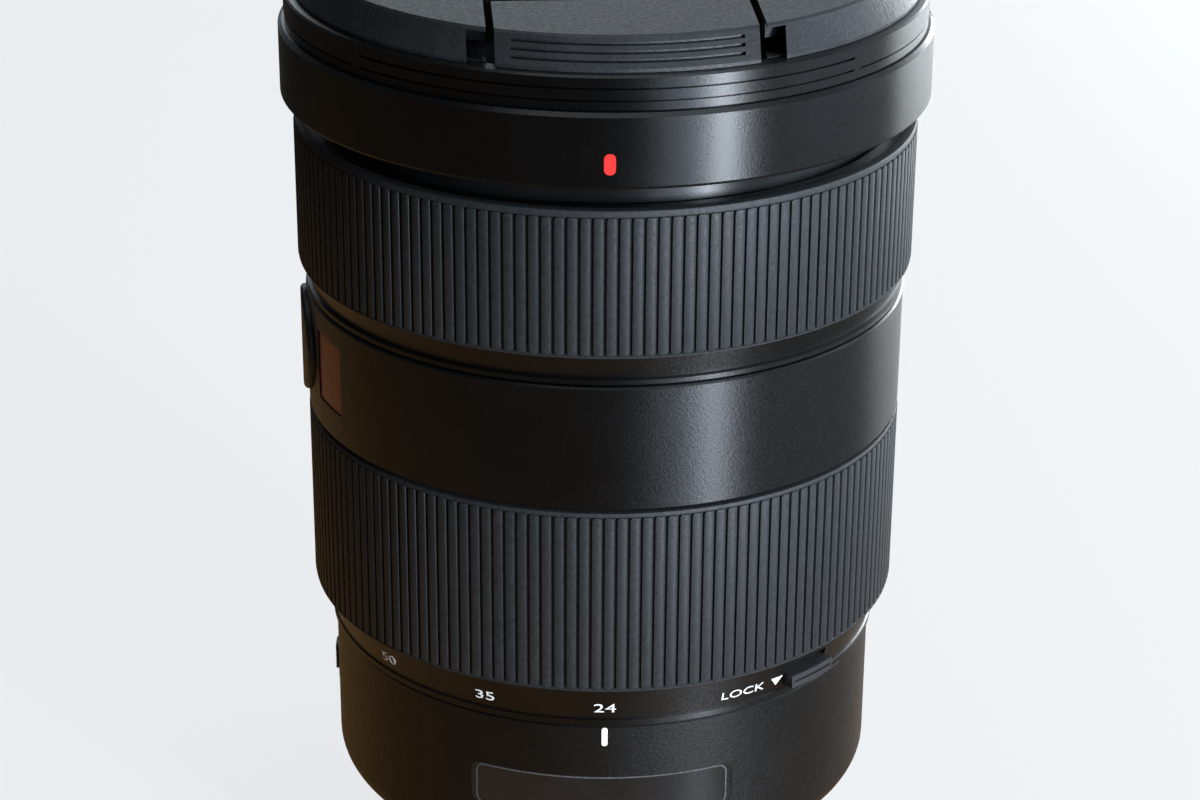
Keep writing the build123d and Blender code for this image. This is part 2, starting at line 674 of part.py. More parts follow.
# Front ring: outer shell of the moving front, with the filter thread and the hood seat
thread_depth = 4.5
trim_depth = 4.4
web_depth = 3.0
trim_radius = thread_radius - sleeve_wall * 0.75
front_bore = front_radius - shell_wall
ledge_height = 1.05
band_height = 1.45
channel_depth = 0.6
lug_arc = 92.0
hood_groove = 0.3
stop_arc = 1.8
front_cell_radius = extension_bore - seat_fit
thread_floor_z = rim_z - thread_depth
trim_floor_z = thread_floor_z - trim_depth
web_z = trim_floor_z - web_depth
ledge_z = front_top_z + hood_groove / 2
ledge_top_z = ledge_z + ledge_height
hood_stops = [sector(rim_radius - 2 * channel_depth, rim_radius - bead_step / 2,
                     angle + side * (lug_arc + stop_arc) / 2, stop_arc, ledge_z, rim_z - band_height)
              for angle in (index_angle, index_angle + 180) for side in (-1, 1)]
with BuildPart() as front_ring:
    add(revolved([
        (front_radius - 2 * edge_break, front_z), (front_radius, front_z + 2 * edge_break),
        (front_radius, front_top_z - 2 * edge_break), (front_radius - 2 * edge_break, front_top_z),
        (rim_radius - channel_depth, front_top_z), (rim_radius - channel_depth, ledge_z),
        (rim_radius - bead_step / 2, ledge_z), (rim_radius - bead_step / 2, ledge_top_z),
        (rim_radius - channel_depth, ledge_top_z),
        (rim_radius - channel_depth, ledge_top_z + hood_groove),
        (rim_radius, ledge_top_z + hood_groove), (rim_radius, rim_z - edge_break),
        (rim_radius - edge_break, rim_z), (thread_radius, rim_z), (thread_radius, thread_floor_z),
        (trim_radius, thread_floor_z), (trim_radius, trim_floor_z),
        (front_cell_radius + seat_fit, trim_floor_z), (front_cell_radius + seat_fit, web_z),
        (front_bore, web_z), (front_bore, front_z)]))
    for angle in (index_angle, index_angle + 180):
        add(sector(rim_radius - channel_depth, rim_radius + cut_over, angle, lug_arc,
                   rim_z - band_height - hood_groove, rim_z - band_height), mode=Mode.SUBTRACT)
    add(hood_stops)
front_ring.part.label = "front_ring"
export_step(front_ring.part, "parts/front_ring.step")

# Extension tube: slides in the front sleeve and carries the front ring
extension_low_z = web_top_z + pin_radius
with BuildPart() as extension_tube:
    add(revolved([(extension_bore, extension_low_z), (extension_radius, extension_low_z),
                  (extension_radius, web_z), (extension_bore, web_z)]))
    with BuildSketch(*[facing(extension_radius, angle, front_pin_z) for angle in follower_angles]):
        Circle(pin_radius + seat_fit)
    extrude(amount=sleeve_wall * 1.5, both=True, mode=Mode.SUBTRACT)
extension_tube.part.label = "extension_tube"
export_step(extension_tube.part, "parts/extension_tube.step")


def followers(r_in, r_out, z):
    """Three radial cam pins."""
    with BuildPart() as pins:
        with BuildSketch(*[facing(r_in, angle, z) for angle in follower_angles]):
            Circle(pin_radius)
        extrude(amount=r_out - r_in)
    return pins.part


with BuildPart() as front_followers:
    add(followers(guide_bore + bead_step, extension_radius - run_fit, front_pin_z))
front_followers.part.label = "front_followers"
export_step(front_followers.part, "parts/front_followers.step")

# Front lens cell and its cemented pair of glasses
front_glass_radius = 33.0
front_glass_z = trim_floor_z + 2.7
front_sags = (5.2, -6.0, 1.2)
front_centres = (2.3, 8.7)
lip_width = 1.2
front_edge_z = front_glass_z - front_sags[0]
front_joint_z = front_glass_z - front_centres[0]
front_back_z = front_joint_z - front_centres[1]
front_seat_z = front_back_z + sag(front_glass_radius - lip_width, front_glass_radius, front_sags[2])
cell_flange = 1.4
with BuildPart() as front_cell:
    add(revolved([
        (front_glass_radius - lip_width, front_seat_z - lip_width),
        (front_cell_radius, front_seat_z - lip_width), (front_cell_radius, trim_floor_z),
        (trim_radius - seat_fit, trim_floor_z), (trim_radius - seat_fit, trim_floor_z + cell_flange),
        (front_glass_radius + seat_fit, trim_floor_z + cell_flange),
        (front_glass_radius + seat_fit, front_seat_z), (front_glass_radius - lip_width,
                                                        front_seat_z)]))
front_cell.part.label = "front_cell"
export_step(front_cell.part, "parts/front_cell.step")

front_lens_1 = lens(front_glass_radius, front_glass_z, front_sags[0], front_joint_z, front_sags[1])
front_lens_1.label = "front_lens_1"
export_step(front_lens_1, "parts/front_lens_1.step")
front_lens_2 = lens(front_glass_radius, front_joint_z, -front_sags[1], front_back_z, front_sags[2])
front_lens_2.label = "front_lens_2"
export_step(front_lens_2, "parts/front_lens_2.step")

# Trim ring: the blank ring that holds the front glass down, stepped against reflections
trim_step_count = 4
trim_top_z = thread_floor_z
trim_low_z = trim_floor_z + cell_flange
trim_inner = front_glass_radius - lip_width
trim_rise = (trim_top_z - trim_low_z) / (trim_step_count + 1)
trim_run = (trim_radius - trim_inner) / (trim_step_count + 1)
trim_outline = [(trim_radius - seat_fit, trim_low_z), (trim_radius - seat_fit, trim_top_z)]
for step in range(trim_step_count):
    trim_outline.append((trim_radius - trim_run * (step + 1), trim_top_z - trim_rise * step))
    trim_outline.append((trim_radius - trim_run * (step + 1), trim_top_z - trim_rise * (step + 1)))
trim_outline.append((trim_inner, trim_top_z - trim_rise * trim_step_count))
trim_outline.append((trim_inner, trim_low_z))
with BuildPart() as trim_ring:
    add(revolved(trim_outline))
trim_ring.part.label = "trim_ring"
export_step(trim_ring.part, "parts/trim_ring.step")

# Variator: second group, two glasses in a cell that slides inside the guide tube
variator_glass_radius = 22.0
variator_skirt_length = 17.0
variator_barrel_length = 12.0
variator_lip_depth = 1.5
variator_web_depth = 2.0
variator_sags = (1.0, -3.0, -2.0, -1.0)
variator_centre = 1.5
barrel_wall = 1.9
skirt_bore = cell_radius - shell_wall
variator_low_z = variator_pin_z - 2 * pin_radius
variator_barrel_z = variator_low_z + variator_web_depth * 1.5
variator_lip_z = variator_barrel_z + variator_barrel_length * 0.42
variator_seat_z = variator_lip_z + variator_lip_depth
variator_glass_seat = variator_glass_radius + seat_fit
variator_barrel_radius = variator_glass_radius + barrel_wall
with BuildPart() as variator_cell:
    add(revolved([(skirt_bore, variator_low_z), (cell_radius, variator_low_z),
                  (cell_radius, variator_low_z + variator_skirt_length),
                  (skirt_bore, variator_low_z + variator_skirt_length)]))
    add(revolved([
        (variator_glass_seat, variator_barrel_z), (variator_barrel_radius, variator_barrel_z),
        (variator_barrel_radius, variator_lip_z),
        (skirt_bore + lip_width / 2, variator_lip_z),
        (skirt_bore + lip_width / 2, variator_lip_z + variator_web_depth),
        (variator_barrel_radius, variator_lip_z + variator_web_depth),
        (variator_barrel_radius, variator_barrel_z + variator_barrel_length),
        (variator_glass_seat, variator_barrel_z + variator_barrel_length),
        (variator_glass_seat, variator_seat_z),
        (variator_glass_radius - lip_width, variator_seat_z),
        (variator_glass_radius - lip_width, variator_lip_z), (variator_glass_seat, variator_lip_z)]))
    with BuildSketch(*[facing(skirt_bore, angle, variator_pin_z) for angle in follower_angles]):
        Circle(pin_radius + seat_fit)
    extrude(amount=cut_over, both=True, mode=Mode.SUBTRACT)
variator_cell.part.label = "variator_cell"
export_step(variator_cell.part, "parts/variator_cell.step")

variator_hollow_z = variator_seat_z - variator_sags[1]
variator_lens_1 = lens(variator_glass_radius, variator_hollow_z + variator_centre,
                       variator_sags[0], variator_hollow_z, variator_sags[1])
variator_lens_1.label = "variator_lens_1"
export_step(variator_lens_1, "parts/variator_lens_1.step")
variator_rear_z = variator_lip_z + variator_sags[2]
variator_lens_2 = lens(variator_glass_radius, variator_rear_z, variator_sags[2],
                       variator_rear_z - variator_centre, variator_sags[3])
variator_lens_2.label = "variator_lens_2"
export_step(variator_lens_2, "parts/variator_lens_2.step")

with BuildPart() as variator_followers:
    add(followers(skirt_bore + bead_step, cam_radius - run_fit, variator_pin_z))
variator_followers.part.label = "variator_followers"
export_step(variator_followers.part, "parts/variator_followers.step")

# Relay: third group; the cell hangs a frame on three struts behind its web, for the
# iris, the focus group and the rear glass
relay_glass_radius = 17.0
relay_skirt_length = 14.0
relay_skirt_wall = 2.2
relay_web_depth = 1.6
relay_barrel_length = 6.5
relay_sags = (2.2, 1.6, -0.8)
relay_centres = (4.8, 1.4)
focus_room = 19.0
frame_thickness = 3.0
rear_glass_radius = 15.0
rear_barrel_length = 4.1
rear_sags = (1.5, 1.0)
rear_centre = 5.1
strut_span = 18.0
strut_depth = 2.2
pinion_radius = 1.1
motor_circle = 26.0
iris_motor_angle = 60.0
focus_motor_angle = 120.0
rod_angles = (75.0, 195.0)
rod_radius = 1.5
screw_thread_radius = 1.0
relay_bore = cell_radius - relay_skirt_wall
relay_low_z = relay_pin_z - relay_skirt_length / 2
relay_web_z = relay_pin_z - pin_radius / 2
relay_seat_z = relay_web_z + relay_web_depth
frame_top_z = relay_low_z - focus_room
frame_z = frame_top_z - frame_thickness
rear_low_z = frame_z - rear_barrel_length
relay_barrel_radius = relay_glass_radius + barrel_wall
rear_barrel_radius = rear_glass_radius + barrel_wall
strut_radius = relay_bore + lip_width / 3
with BuildPart() as relay_cell:
    add(revolved([
        (relay_glass_radius - lip_width, relay_web_z), (relay_bore, relay_web_z),
        (relay_bore, relay_low_z), (cell_radius, relay_low_z),
        (cell_radius, relay_low_z + relay_skirt_length),
        (relay_bore, relay_low_z + relay_skirt_length), (relay_bore, relay_seat_z),
        (relay_barrel_radius, relay_seat_z), (relay_barrel_radius, relay_seat_z + relay_barrel_length),
        (relay_glass_radius + seat_fit, relay_seat_z + relay_barrel_length),
        (relay_glass_radius + seat_fit, relay_seat_z), (relay_glass_radius - lip_width, relay_seat_z)]))
    add(revolved([
        (rear_glass_radius - lip_width, rear_low_z), (rear_barrel_radius, rear_low_z),
        (rear_barrel_radius, frame_z), (strut_radius, frame_z), (strut_radius, frame_top_z),
        (rear_glass_radius + seat_fit, frame_top_z),
        (rear_glass_radius + seat_fit, rear_low_z + lip_width),
        (rear_glass_radius - lip_width, rear_low_z + lip_width)]))
    add([sector(strut_radius - strut_depth, strut_radius, angle, strut_span, frame_z, relay_seat_z)
         for angle in strut_angles])
    with BuildSketch(*[facing(relay_bore, angle, relay_pin_z) for angle in follower_angles]):
        Circle(pin_radius + seat_fit)
    extrude(amount=relay_skirt_wall + cut_over, mode=Mode.SUBTRACT)
    with BuildSketch(Plane.XY.offset(relay_web_z)):
        with Locations(around(motor_circle, iris_motor_angle)):
            Circle(pinion_radius + seat_fit)
    extrude(amount=relay_web_depth, mode=Mode.SUBTRACT)
    with BuildSketch(Plane.XY.offset(frame_z)):
        with Locations(around(motor_circle, focus_motor_angle)):
            Circle(screw_thread_radius + seat_fit)
    extrude(amount=frame_thickness, mode=Mode.SUBTRACT)
relay_cell.part.label = "relay_cell"
export_step(relay_cell.part, "parts/relay_cell.step")

relay_back_z = relay_seat_z - relay_sags[2]
relay_joint_z = relay_back_z + relay_centres[1]
relay_lens_1 = lens(relay_glass_radius, relay_joint_z + relay_centres[0], relay_sags[0],
                    relay_joint_z, relay_sags[1])
relay_lens_1.label = "relay_lens_1"
export_step(relay_lens_1, "parts/relay_lens_1.step")
relay_lens_2 = lens(relay_glass_radius, relay_joint_z, -relay_sags[1], relay_back_z,
                    relay_sags[2])
relay_lens_2.label = "relay_lens_2"
export_step(relay_lens_2, "parts/relay_lens_2.step")

rear_back_z = rear_low_z + lip_width - sag(rear_glass_radius - lip_width, rear_glass_radius,
                                           rear_sags[1])
rear_lens = lens(rear_glass_radius, rear_back_z + rear_centre, rear_sags[0], rear_back_z,
                 rear_sags[1])
rear_lens.label = "rear_lens"
export_step(rear_lens, "parts/rear_lens.step")

with BuildPart() as relay_followers:
    add(followers(relay_bore + bead_step, cam_radius - run_fit, relay_pin_z))
relay_followers.part.label = "relay_followers"
export_step(relay_followers.part, "parts/relay_followers.step")

# Iris plate: floor and rim that hold the blades and the iris ring behind the web
iris_plate_depth = 1.0
iris_rim_height = 3.0
iris_rim_wall = 1.5
iris_open_radius = 17.4
blade_pitch = 0.16
blade_thickness = 0.1
pivot_circle = 26.0
pivot_radius = 0.7
drive_circle = 24.7
drive_lead = 11.7
drive_radius = 0.6
iris_radius = strut_radius - strut_depth - seat_fit
iris_rim_bore = iris_radius - iris_rim_wall
iris_plate_z = relay_low_z
iris_floor_z = iris_plate_z + iris_plate_depth
with BuildPart() as iris_plate:
    add(revolved([
        (iris_open_radius, iris_plate_z), (iris_radius, iris_plate_z),
        (iris_radius, iris_floor_z + iris_rim_height), (iris_rim_bore, iris_floor_z + iris_rim_height),
        (iris_rim_bore, iris_floor_z), (iris_open_radius, iris_floor_z)]))
    with BuildSketch(Plane.XY.offset(iris_plate_z)):
        with PolarLocations(pivot_circle, blade_count):
            Circle(pivot_radius + run_fit)
    extrude(amount=iris_plate_depth, mode=Mode.SUBTRACT)
iris_plate.part.label = "iris_plate"
export_step(iris_plate.part, "parts/iris_plate.step")

# Iris ring: turns inside the rim; nine curved slots draw the blades inwards together
iris_ring_depth = 1.0
iris_track_steps = 6
iris_rack_depth = 1.3
iris_ring_radius = iris_rim_bore - run_fit
iris_ring_bore = iris_open_radius + 4 * iris_plate_depth
blade_low_z = iris_floor_z + blade_thickness
iris_ring_z = blade_low_z + blade_count * blade_pitch + 2 * blade_thickness
iris_rack_radius = motor_circle + pinion_radius + blade_thickness


def drive_track(angle, share):
    """Place in the iris ring of the drive pin of the blade pivoted at an angle."""
    pivot = Vector(*around(pivot_circle, angle))
    arm = Vector(*around(drive_circle, angle + drive_lead)) - pivot
    spot = pivot + arm.rotate(Axis.Z, blade_turn * share)
    return spot.rotate(Axis.Z, -iris_turn * share)


with BuildPart() as iris_ring:
    add(revolved([
        (iris_ring_bore, iris_ring_z), (iris_ring_radius, iris_ring_z),
        (iris_ring_radius, iris_ring_z + 2 * iris_ring_depth),
        (iris_rack_radius, iris_ring_z + 2 * iris_ring_depth),
        (iris_rack_radius, iris_ring_z + iris_ring_depth),
        (iris_ring_bore, iris_ring_z + iris_ring_depth)]))
    with BuildSketch(Plane.XY.offset(iris_ring_z)):
        for blade in range(blade_count):
            for step in range(iris_track_steps):
                start = drive_track(360 / blade_count * blade, step / iris_track_steps)
                end = drive_track(360 / blade_count * blade, (step + 1) / iris_track_steps)
                with Locations((start + end) / 2):
                    SlotCenterToCenter((end - start).length, 2 * (drive_radius + run_fit),
                                       rotation=degrees(atan2(end.Y - start.Y, end.X - start.X)))
    extrude(amount=iris_ring_depth, mode=Mode.SUBTRACT)
iris_ring.part.label = "iris_ring"
export_step(iris_ring.part, "parts/iris_ring.step")

# Iris blades: thin crescents, each with a pivot pin below and a drive pin above
crescent_width = 4.0
crescent_span = 64.0
crescent_lead = 30.0
crescent_mid = iris_open_radius + crescent_width / 2
for blade in range(blade_count):
    pivot_angle = 360 / blade_count * blade
    blade_z = blade_low_z + blade_pitch * blade
    with BuildPart() as iris_blade:
        add(sector(iris_open_radius, iris_open_radius + crescent_width, pivot_angle + crescent_lead,
                   crescent_span, blade_z, blade_z + blade_thickness))
        with BuildSketch(Plane.XY.offset(blade_z)):
            with Locations(around(pivot_circle, pivot_angle)):
                Circle(2 * pivot_radius)
            with Locations(around(drive_circle, pivot_angle + drive_lead)):
                Circle(2 * drive_radius)
            with Locations(around(crescent_mid, pivot_angle + drive_lead / 2)):
                Circle(crescent_width / 2)
            make_hull()
        extrude(amount=blade_thickness)
        with BuildSketch(Plane.XY.offset(iris_plate_z + blade_thickness)):
            with Locations(around(pivot_circle, pivot_angle)):
                Circle(pivot_radius)
        extrude(amount=blade_z - iris_plate_z)
        with BuildSketch(Plane.XY.offset(blade_z)):
            with Locations(around(drive_circle, pivot_angle + drive_lead)):
                Circle(drive_radius)
        extrude(amount=iris_ring_z + iris_ring_depth - blade_z)
    iris_blade.part.label = f"iris_blade_{blade + 1}"
    export_step(iris_blade.part, f"parts/iris_blade_{blade + 1}.step")

# Iris motor: a can on the web whose pinion reaches down to the iris ring
motor_radius = 4.0
motor_height = 8.0
with BuildPart() as iris_motor:
    with BuildSketch(Plane.XY.offset(relay_seat_z)):
        with Locations(around(motor_circle, iris_motor_angle)):
            Circle(motor_radius)
    extrude(amount=motor_height)
    fillet(iris_motor.edges().group_by(Axis.Z)[-1], radius=motor_radius / 8)
    with BuildSketch(Plane.XY.offset(relay_seat_z)):
        with Locations(around(motor_circle, iris_motor_angle)):
            Circle(pinion_radius)
    extrude(amount=iris_ring_z + iris_ring_depth + blade_thickness - relay_seat_z)
iris_motor.part.label = "iris_motor"
export_step(iris_motor.part, "parts/iris_motor.step")

# Focus drive: two guide rods and a motor with a screw, between the frame and the iris
with BuildPart() as focus_rods:
    with BuildSketch(Plane.XY.offset(frame_top_z)):
        for angle in rod_angles:
            with Locations(around(motor_circle, angle)):
                Circle(rod_radius)
    extrude(amount=focus_room)
focus_rods.part.label = "focus_rods"
export_step(focus_rods.part, "parts/focus_rods.step")

with BuildPart() as focus_motor:
    with BuildSketch(Plane.XY.offset(frame_z)):
        with Locations(around(motor_circle, focus_motor_angle)):
            Circle(motor_radius)
    extrude(amount=-motor_height)
    fillet(focus_motor.edges().group_by(Axis.Z)[0], radius=motor_radius / 8)
    with BuildSketch(Plane.XY.offset(frame_z)):
        with Locations(around(motor_circle, focus_motor_angle)):
            Circle(screw_thread_radius)
    extrude(amount=frame_thickness + focus_room - blade_thickness)
focus_motor.part.label = "focus_motor"
export_step(focus_motor.part, "parts/focus_motor.step")

# Focus cell and its glass: ride on the rods, pushed by a nut on the motor screw
focus_glass_radius = 14.0
focus_cell_wall = 2.5
focus_cell_length = 5.0
focus_arm_width = 4.4
focus_sags = (-0.8, -1.0)
focus_centre = 1.5
focus_cell_z = frame_top_z + focus_room / 3
focus_seat_z = focus_cell_z + lip_width
focus_arm_z = focus_cell_z + focus_cell_length / 4
focus_cell_radius = focus_glass_radius + focus_cell_wall
arm_holes = [(angle, rod_radius) for angle in rod_angles]
arm_holes.append((focus_motor_angle, screw_thread_radius))
with BuildPart() as focus_cell:
    add(revolved([
        (focus_glass_radius - lip_width, focus_cell_z), (focus_cell_radius, focus_cell_z),
        (focus_cell_radius, focus_cell_z + focus_cell_length),
        (focus_glass_radius + seat_fit, focus_cell_z + focus_cell_length),
        (focus_glass_radius + seat_fit, focus_seat_z), (focus_glass_radius - lip_width, focus_seat_z)]))
    for angle, hole in arm_holes:
        reach = motor_circle - focus_cell_radius + focus_cell_wall / 2
        with BuildSketch(Plane.XY.offset(focus_arm_z)):
            with Locations(around(motor_circle - reach / 2, angle)):
                Rectangle(reach, focus_arm_width, rotation=angle)
            with Locations(around(motor_circle, angle)):
                Circle(focus_arm_width / 2 + hole / 3)
        extrude(amount=focus_cell_length / 2)
        with BuildSketch(Plane.XY.offset(focus_arm_z)):
            with Locations(around(motor_circle, angle)):
                Circle(hole + run_fit)
        extrude(amount=focus_cell_length / 2, mode=Mode.SUBTRACT)
focus_cell.part.label = "focus_cell"
export_step(focus_cell.part, "parts/focus_cell.step")

focus_back_z = focus_seat_z - focus_sags[1]
focus_lens = lens(focus_glass_radius, focus_back_z + focus_centre, focus_sags[0], focus_back_z,
                  focus_sags[1])
focus_lens.label = "focus_lens"
export_step(focus_lens, "parts/focus_lens.step")

# Front cap: a disc in the filter thread, with two sprung grips that are squeezed inwards
cap_turn = 4.0
cap_thickness = 2.4
cap_proud = 4.1
cap_lid = 0.5
cap_margin = 1.2
cap_draft = 2.5
cap_wall = 1.7
cap_skirt_depth = 3.2
cap_rest = 0.05
cap_chamfer = 0.3
cap_skirt_gap = 0.35
cap_skirt_radius = thread_radius - cap_skirt_gap
cap_edge_radius = rim_radius - cap_margin
cap_face_radius = cap_edge_radius - cap_draft
cap_top_z = rim_z + cap_proud
cap_step_z = rim_z + cap_rest
cap_low_z = cap_top_z - cap_thickness
grip_width = 32.4
grip_slot = 1.0
grip_inner = 22.0
grip_travel = 2.0
grip_gap = 0.2
tongue_width = 16.0
tongue_reach = 6.0
tongue_depth = 1.0
notch_width = 2.4
notch_depth = 1.6
groove_margin = 1.9
groove_depth = 0.6
cap_floor = 0.8
cap_outline = [
    (0, cap_low_z), (cap_skirt_radius - cap_wall, cap_low_z),
    (cap_skirt_radius - cap_wall, rim_z - cap_skirt_depth), (cap_skirt_radius, rim_z - cap_skirt_depth),
    (cap_skirt_radius, cap_step_z), (cap_edge_radius, cap_step_z),
    (cap_edge_radius, cap_step_z + cap_chamfer * 1.5),
    (cap_face_radius + cap_chamfer, cap_top_z - cap_chamfer), (cap_face_radius, cap_top_z),
    (0, cap_top_z)]
cap_plane = Plane.XY.rotated((0, 0, cap_turn))
with BuildPart() as cap_body:
    add(revolved(cap_outline))
    with BuildSketch(cap_plane.offset(rim_z - cap_skirt_depth)):
        for side in (-1, 1):
            with Locations((0, side * (grip_inner + cap_edge_radius / 2))):
                Rectangle(grip_width + 2 * grip_slot, cap_edge_radius)
    extrude(amount=cap_edge_radius, mode=Mode.SUBTRACT)
    with BuildSketch(cap_plane.offset(cap_step_z)):
        for side in (-1, 1):
            with Locations((0, side * (grip_inner + cap_edge_radius / 2))):
                Rectangle(grip_width + 2 * (grip_slot + notch_width), cap_edge_radius)
        Circle(cap_face_radius - notch_depth, mode=Mode.SUBTRACT)
    extrude(amount=cap_top_z - cap_lid - cap_step_z, mode=Mode.SUBTRACT)
    with BuildSketch(cap_plane.offset(rim_z - cap_skirt_depth)):
        Circle(cap_skirt_radius - cap_wall / 2)
        for side in (-1, 1):
            with Locations((0, side * (grip_inner + cap_edge_radius / 2))):
                Rectangle(grip_width + 2 * grip_slot, cap_edge_radius, mode=Mode.SUBTRACT)
        Circle(cap_skirt_radius - cap_wall - grip_travel - cap_skirt_gap)
    extrude(amount=cap_floor)
cap_body.part.label = "cap_body"
export_step(cap_body.part, "parts/cap_body.step")

grip_start = grip_inner + grip_travel + grip_gap
cap_height = cap_top_z - cap_step_z
ridge_pitch = cap_height / 4.5
for side, name in ((-1, "cap_grip_front"), (1, "cap_grip_back")):
    with BuildPart() as cap_grip:
        add(revolved(cap_outline))
        with BuildSketch(cap_plane.offset(rim_z - cap_skirt_depth)):
            with Locations((0, side * (grip_start + cap_edge_radius / 2))):
                Rectangle(grip_width, cap_edge_radius)
        extrude(amount=cap_edge_radius, mode=Mode.INTERSECT)
        for ridge in range(3):
            drop = ridge_pitch * (ridge + 1.3)
            wall_radius = cap_face_radius + (cap_edge_radius - cap_face_radius) * drop / cap_height
            with BuildSketch(cap_plane.offset(cap_top_z - drop)):
                with Locations((0, side * cap_edge_radius)):
                    Rectangle(grip_width - 2 * groove_margin, cap_edge_radius)
                Circle(wall_radius - groove_depth, mode=Mode.SUBTRACT)
            extrude(amount=ridge_pitch * 0.45, mode=Mode.SUBTRACT)
        with BuildSketch(cap_plane.offset(cap_low_z - grip_gap / 2)):
            with Locations((0, side * (grip_start - tongue_reach / 2 + cap_wall))):
                Rectangle(tongue_width, tongue_reach + 2 * cap_wall)
        extrude(amount=-tongue_depth)
        with BuildSketch(cap_plane.offset(cap_low_z)):
            with Locations((0, side * (grip_start + cap_wall))):
                Rectangle(tongue_width, 2 * cap_wall)
        extrude(amount=-tongue_depth)
    cap_grip.part.label = name
    export_step(cap_grip.part, f"parts/{name}.step")
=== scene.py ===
import math

import bmesh
import bpy
from mathutils import Matrix, Vector


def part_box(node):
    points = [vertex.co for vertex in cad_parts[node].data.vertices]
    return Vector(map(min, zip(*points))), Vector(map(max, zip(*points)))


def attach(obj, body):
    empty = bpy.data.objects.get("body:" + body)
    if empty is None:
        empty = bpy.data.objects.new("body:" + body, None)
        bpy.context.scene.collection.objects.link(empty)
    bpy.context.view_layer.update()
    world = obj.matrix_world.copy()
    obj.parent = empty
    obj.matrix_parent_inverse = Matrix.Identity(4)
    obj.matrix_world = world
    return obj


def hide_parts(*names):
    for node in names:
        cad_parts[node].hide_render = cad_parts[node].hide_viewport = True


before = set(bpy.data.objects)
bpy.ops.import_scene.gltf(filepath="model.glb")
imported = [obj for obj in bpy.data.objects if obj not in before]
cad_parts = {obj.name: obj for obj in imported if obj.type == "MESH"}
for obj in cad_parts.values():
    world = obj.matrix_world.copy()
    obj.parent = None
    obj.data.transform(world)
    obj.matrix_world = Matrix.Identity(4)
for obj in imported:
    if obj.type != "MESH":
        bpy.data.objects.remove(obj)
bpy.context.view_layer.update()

# Camera: it stands where the photograph was taken from, as the ellipses of the rings give it. That
# is a short telephoto view from the front, looking down on the cap by about 24 degrees.
camera_place = (-0.0005, -0.3864, 0.2485)
camera_tilt = math.radians(66.23)
camera_roll = math.radians(0.364)
camera_data = bpy.data.cameras.new("camera")
camera_data.sensor_width = 36.0
camera_data.lens = 89.5
camera = bpy.data.objects.new("camera", camera_data)
camera.matrix_world = (Matrix.Translation(camera_place)
                       @ Matrix.Rotation(camera_tilt, 4, "X")
                       @ Matrix.Rotation(camera_roll, 4, "Z"))
bpy.context.collection.objects.link(camera)
bpy.context.scene.camera = camera

# Floor: a plain matt table top, which the lens stands on with its mount down. It is pale where the
# camera sees it. What it throws back on the black paint is painted light: a warm wood brown in a
# painted pool of light close to the lens, a little to its left, and painted shade further out.
floor_reach = 4.0
floor_roughness = 0.9
floor_gloss = 0.1
pale_top = (0.10, 0.102, 0.103, 1.0)
pale_glow = (0.97, 0.985, 1.0, 1.0)
pale_glow_strength = 0.76
# Painted light on the floor as the lens reflects it: a warm brown pool by the lens, painted shade
# round it.
painted_pool_brown = (0.42, 0.215, 0.075, 1.0)
painted_shade_surround = (0.045, 0.034, 0.026, 1.0)
patch_middle = (-0.10, 0.02)
patch_radius = 0.25
floor_mesh = bpy.data.meshes.new("floor")
floor_bm = bmesh.new()
bmesh.ops.create_grid(floor_bm, x_segments=1, y_segments=1, size=floor_reach)
floor_bm.to_mesh(floor_mesh)
floor_bm.free()
floor = bpy.data.objects.new("floor", floor_mesh)
bpy.context.collection.objects.link(floor)
floor_paint = bpy.data.materials.new("floor_paint")
floor_paint.use_nodes = True
floor_nodes = floor_paint.node_tree.nodes
floor_links = floor_paint.node_tree.links
floor_place = floor_nodes.new("ShaderNodeTexCoord")
patch_place = floor_nodes.new("ShaderNodeMapping")
patch_place.inputs["Scale"].default_value = (1 / patch_radius, 1 / patch_radius, 1 / patch_radius)
patch_place.inputs["Location"].default_value = (-patch_middle[0] / patch_radius,
                                                -patch_middle[1] / patch_radius, 0.0)
patch = floor_nodes.new("ShaderNodeTexGradient")
patch.gradient_type = "SPHERICAL"
# The ramp paints the reflected floor: painted shade outside, a painted pool of warm light in the
# middle.
patch_tone = floor_nodes.new("ShaderNodeValToRGB")
patch_tone.color_ramp.elements[0].position = 0.05
patch_tone.color_ramp.elements[0].color = painted_shade_surround
patch_tone.color_ramp.elements[1].position = 0.50
patch_tone.color_ramp.elements[1].color = painted_pool_brown
unseen_floor = floor_nodes["Principled BSDF"]
floor_links.new(floor_place.outputs["Object"], patch_place.inputs["Vector"])
floor_links.new(patch_place.outputs["Vector"], patch.inputs["Vector"])
floor_links.new(patch.outputs["Fac"], patch_tone.inputs["Fac"])
floor_links.new(patch_tone.outputs["Color"], unseen_floor.inputs["Base Color"])
seen_floor = floor_nodes.new("ShaderNodeBsdfPrincipled")
seen_floor.inputs["Base Color"].default_value = pale_top
seen_floor.inputs["Emission Color"].default_value = pale_glow
seen_floor.inputs["Emission Strength"].default_value = pale_glow_strength
for floor_shader in (unseen_floor, seen_floor):
    floor_shader.inputs["Roughness"].default_value = floor_roughness
    floor_shader.inputs["Specular IOR Level"].default_value = floor_gloss
floor_path = floor_nodes.new("ShaderNodeLightPath")
floor_mix = floor_nodes.new("ShaderNodeMixShader")
floor_links.new(floor_path.outputs["Is Camera Ray"], floor_mix.inputs[0])
floor_links.new(unseen_floor.outputs[0], floor_mix.inputs[1])
floor_links.new(seen_floor.outputs[0], floor_mix.inputs[2])
floor_links.new(floor_mix.outputs[0], floor_nodes["Material Output"].inputs["Surface"])
floor_mesh.materials.append(floor_paint)

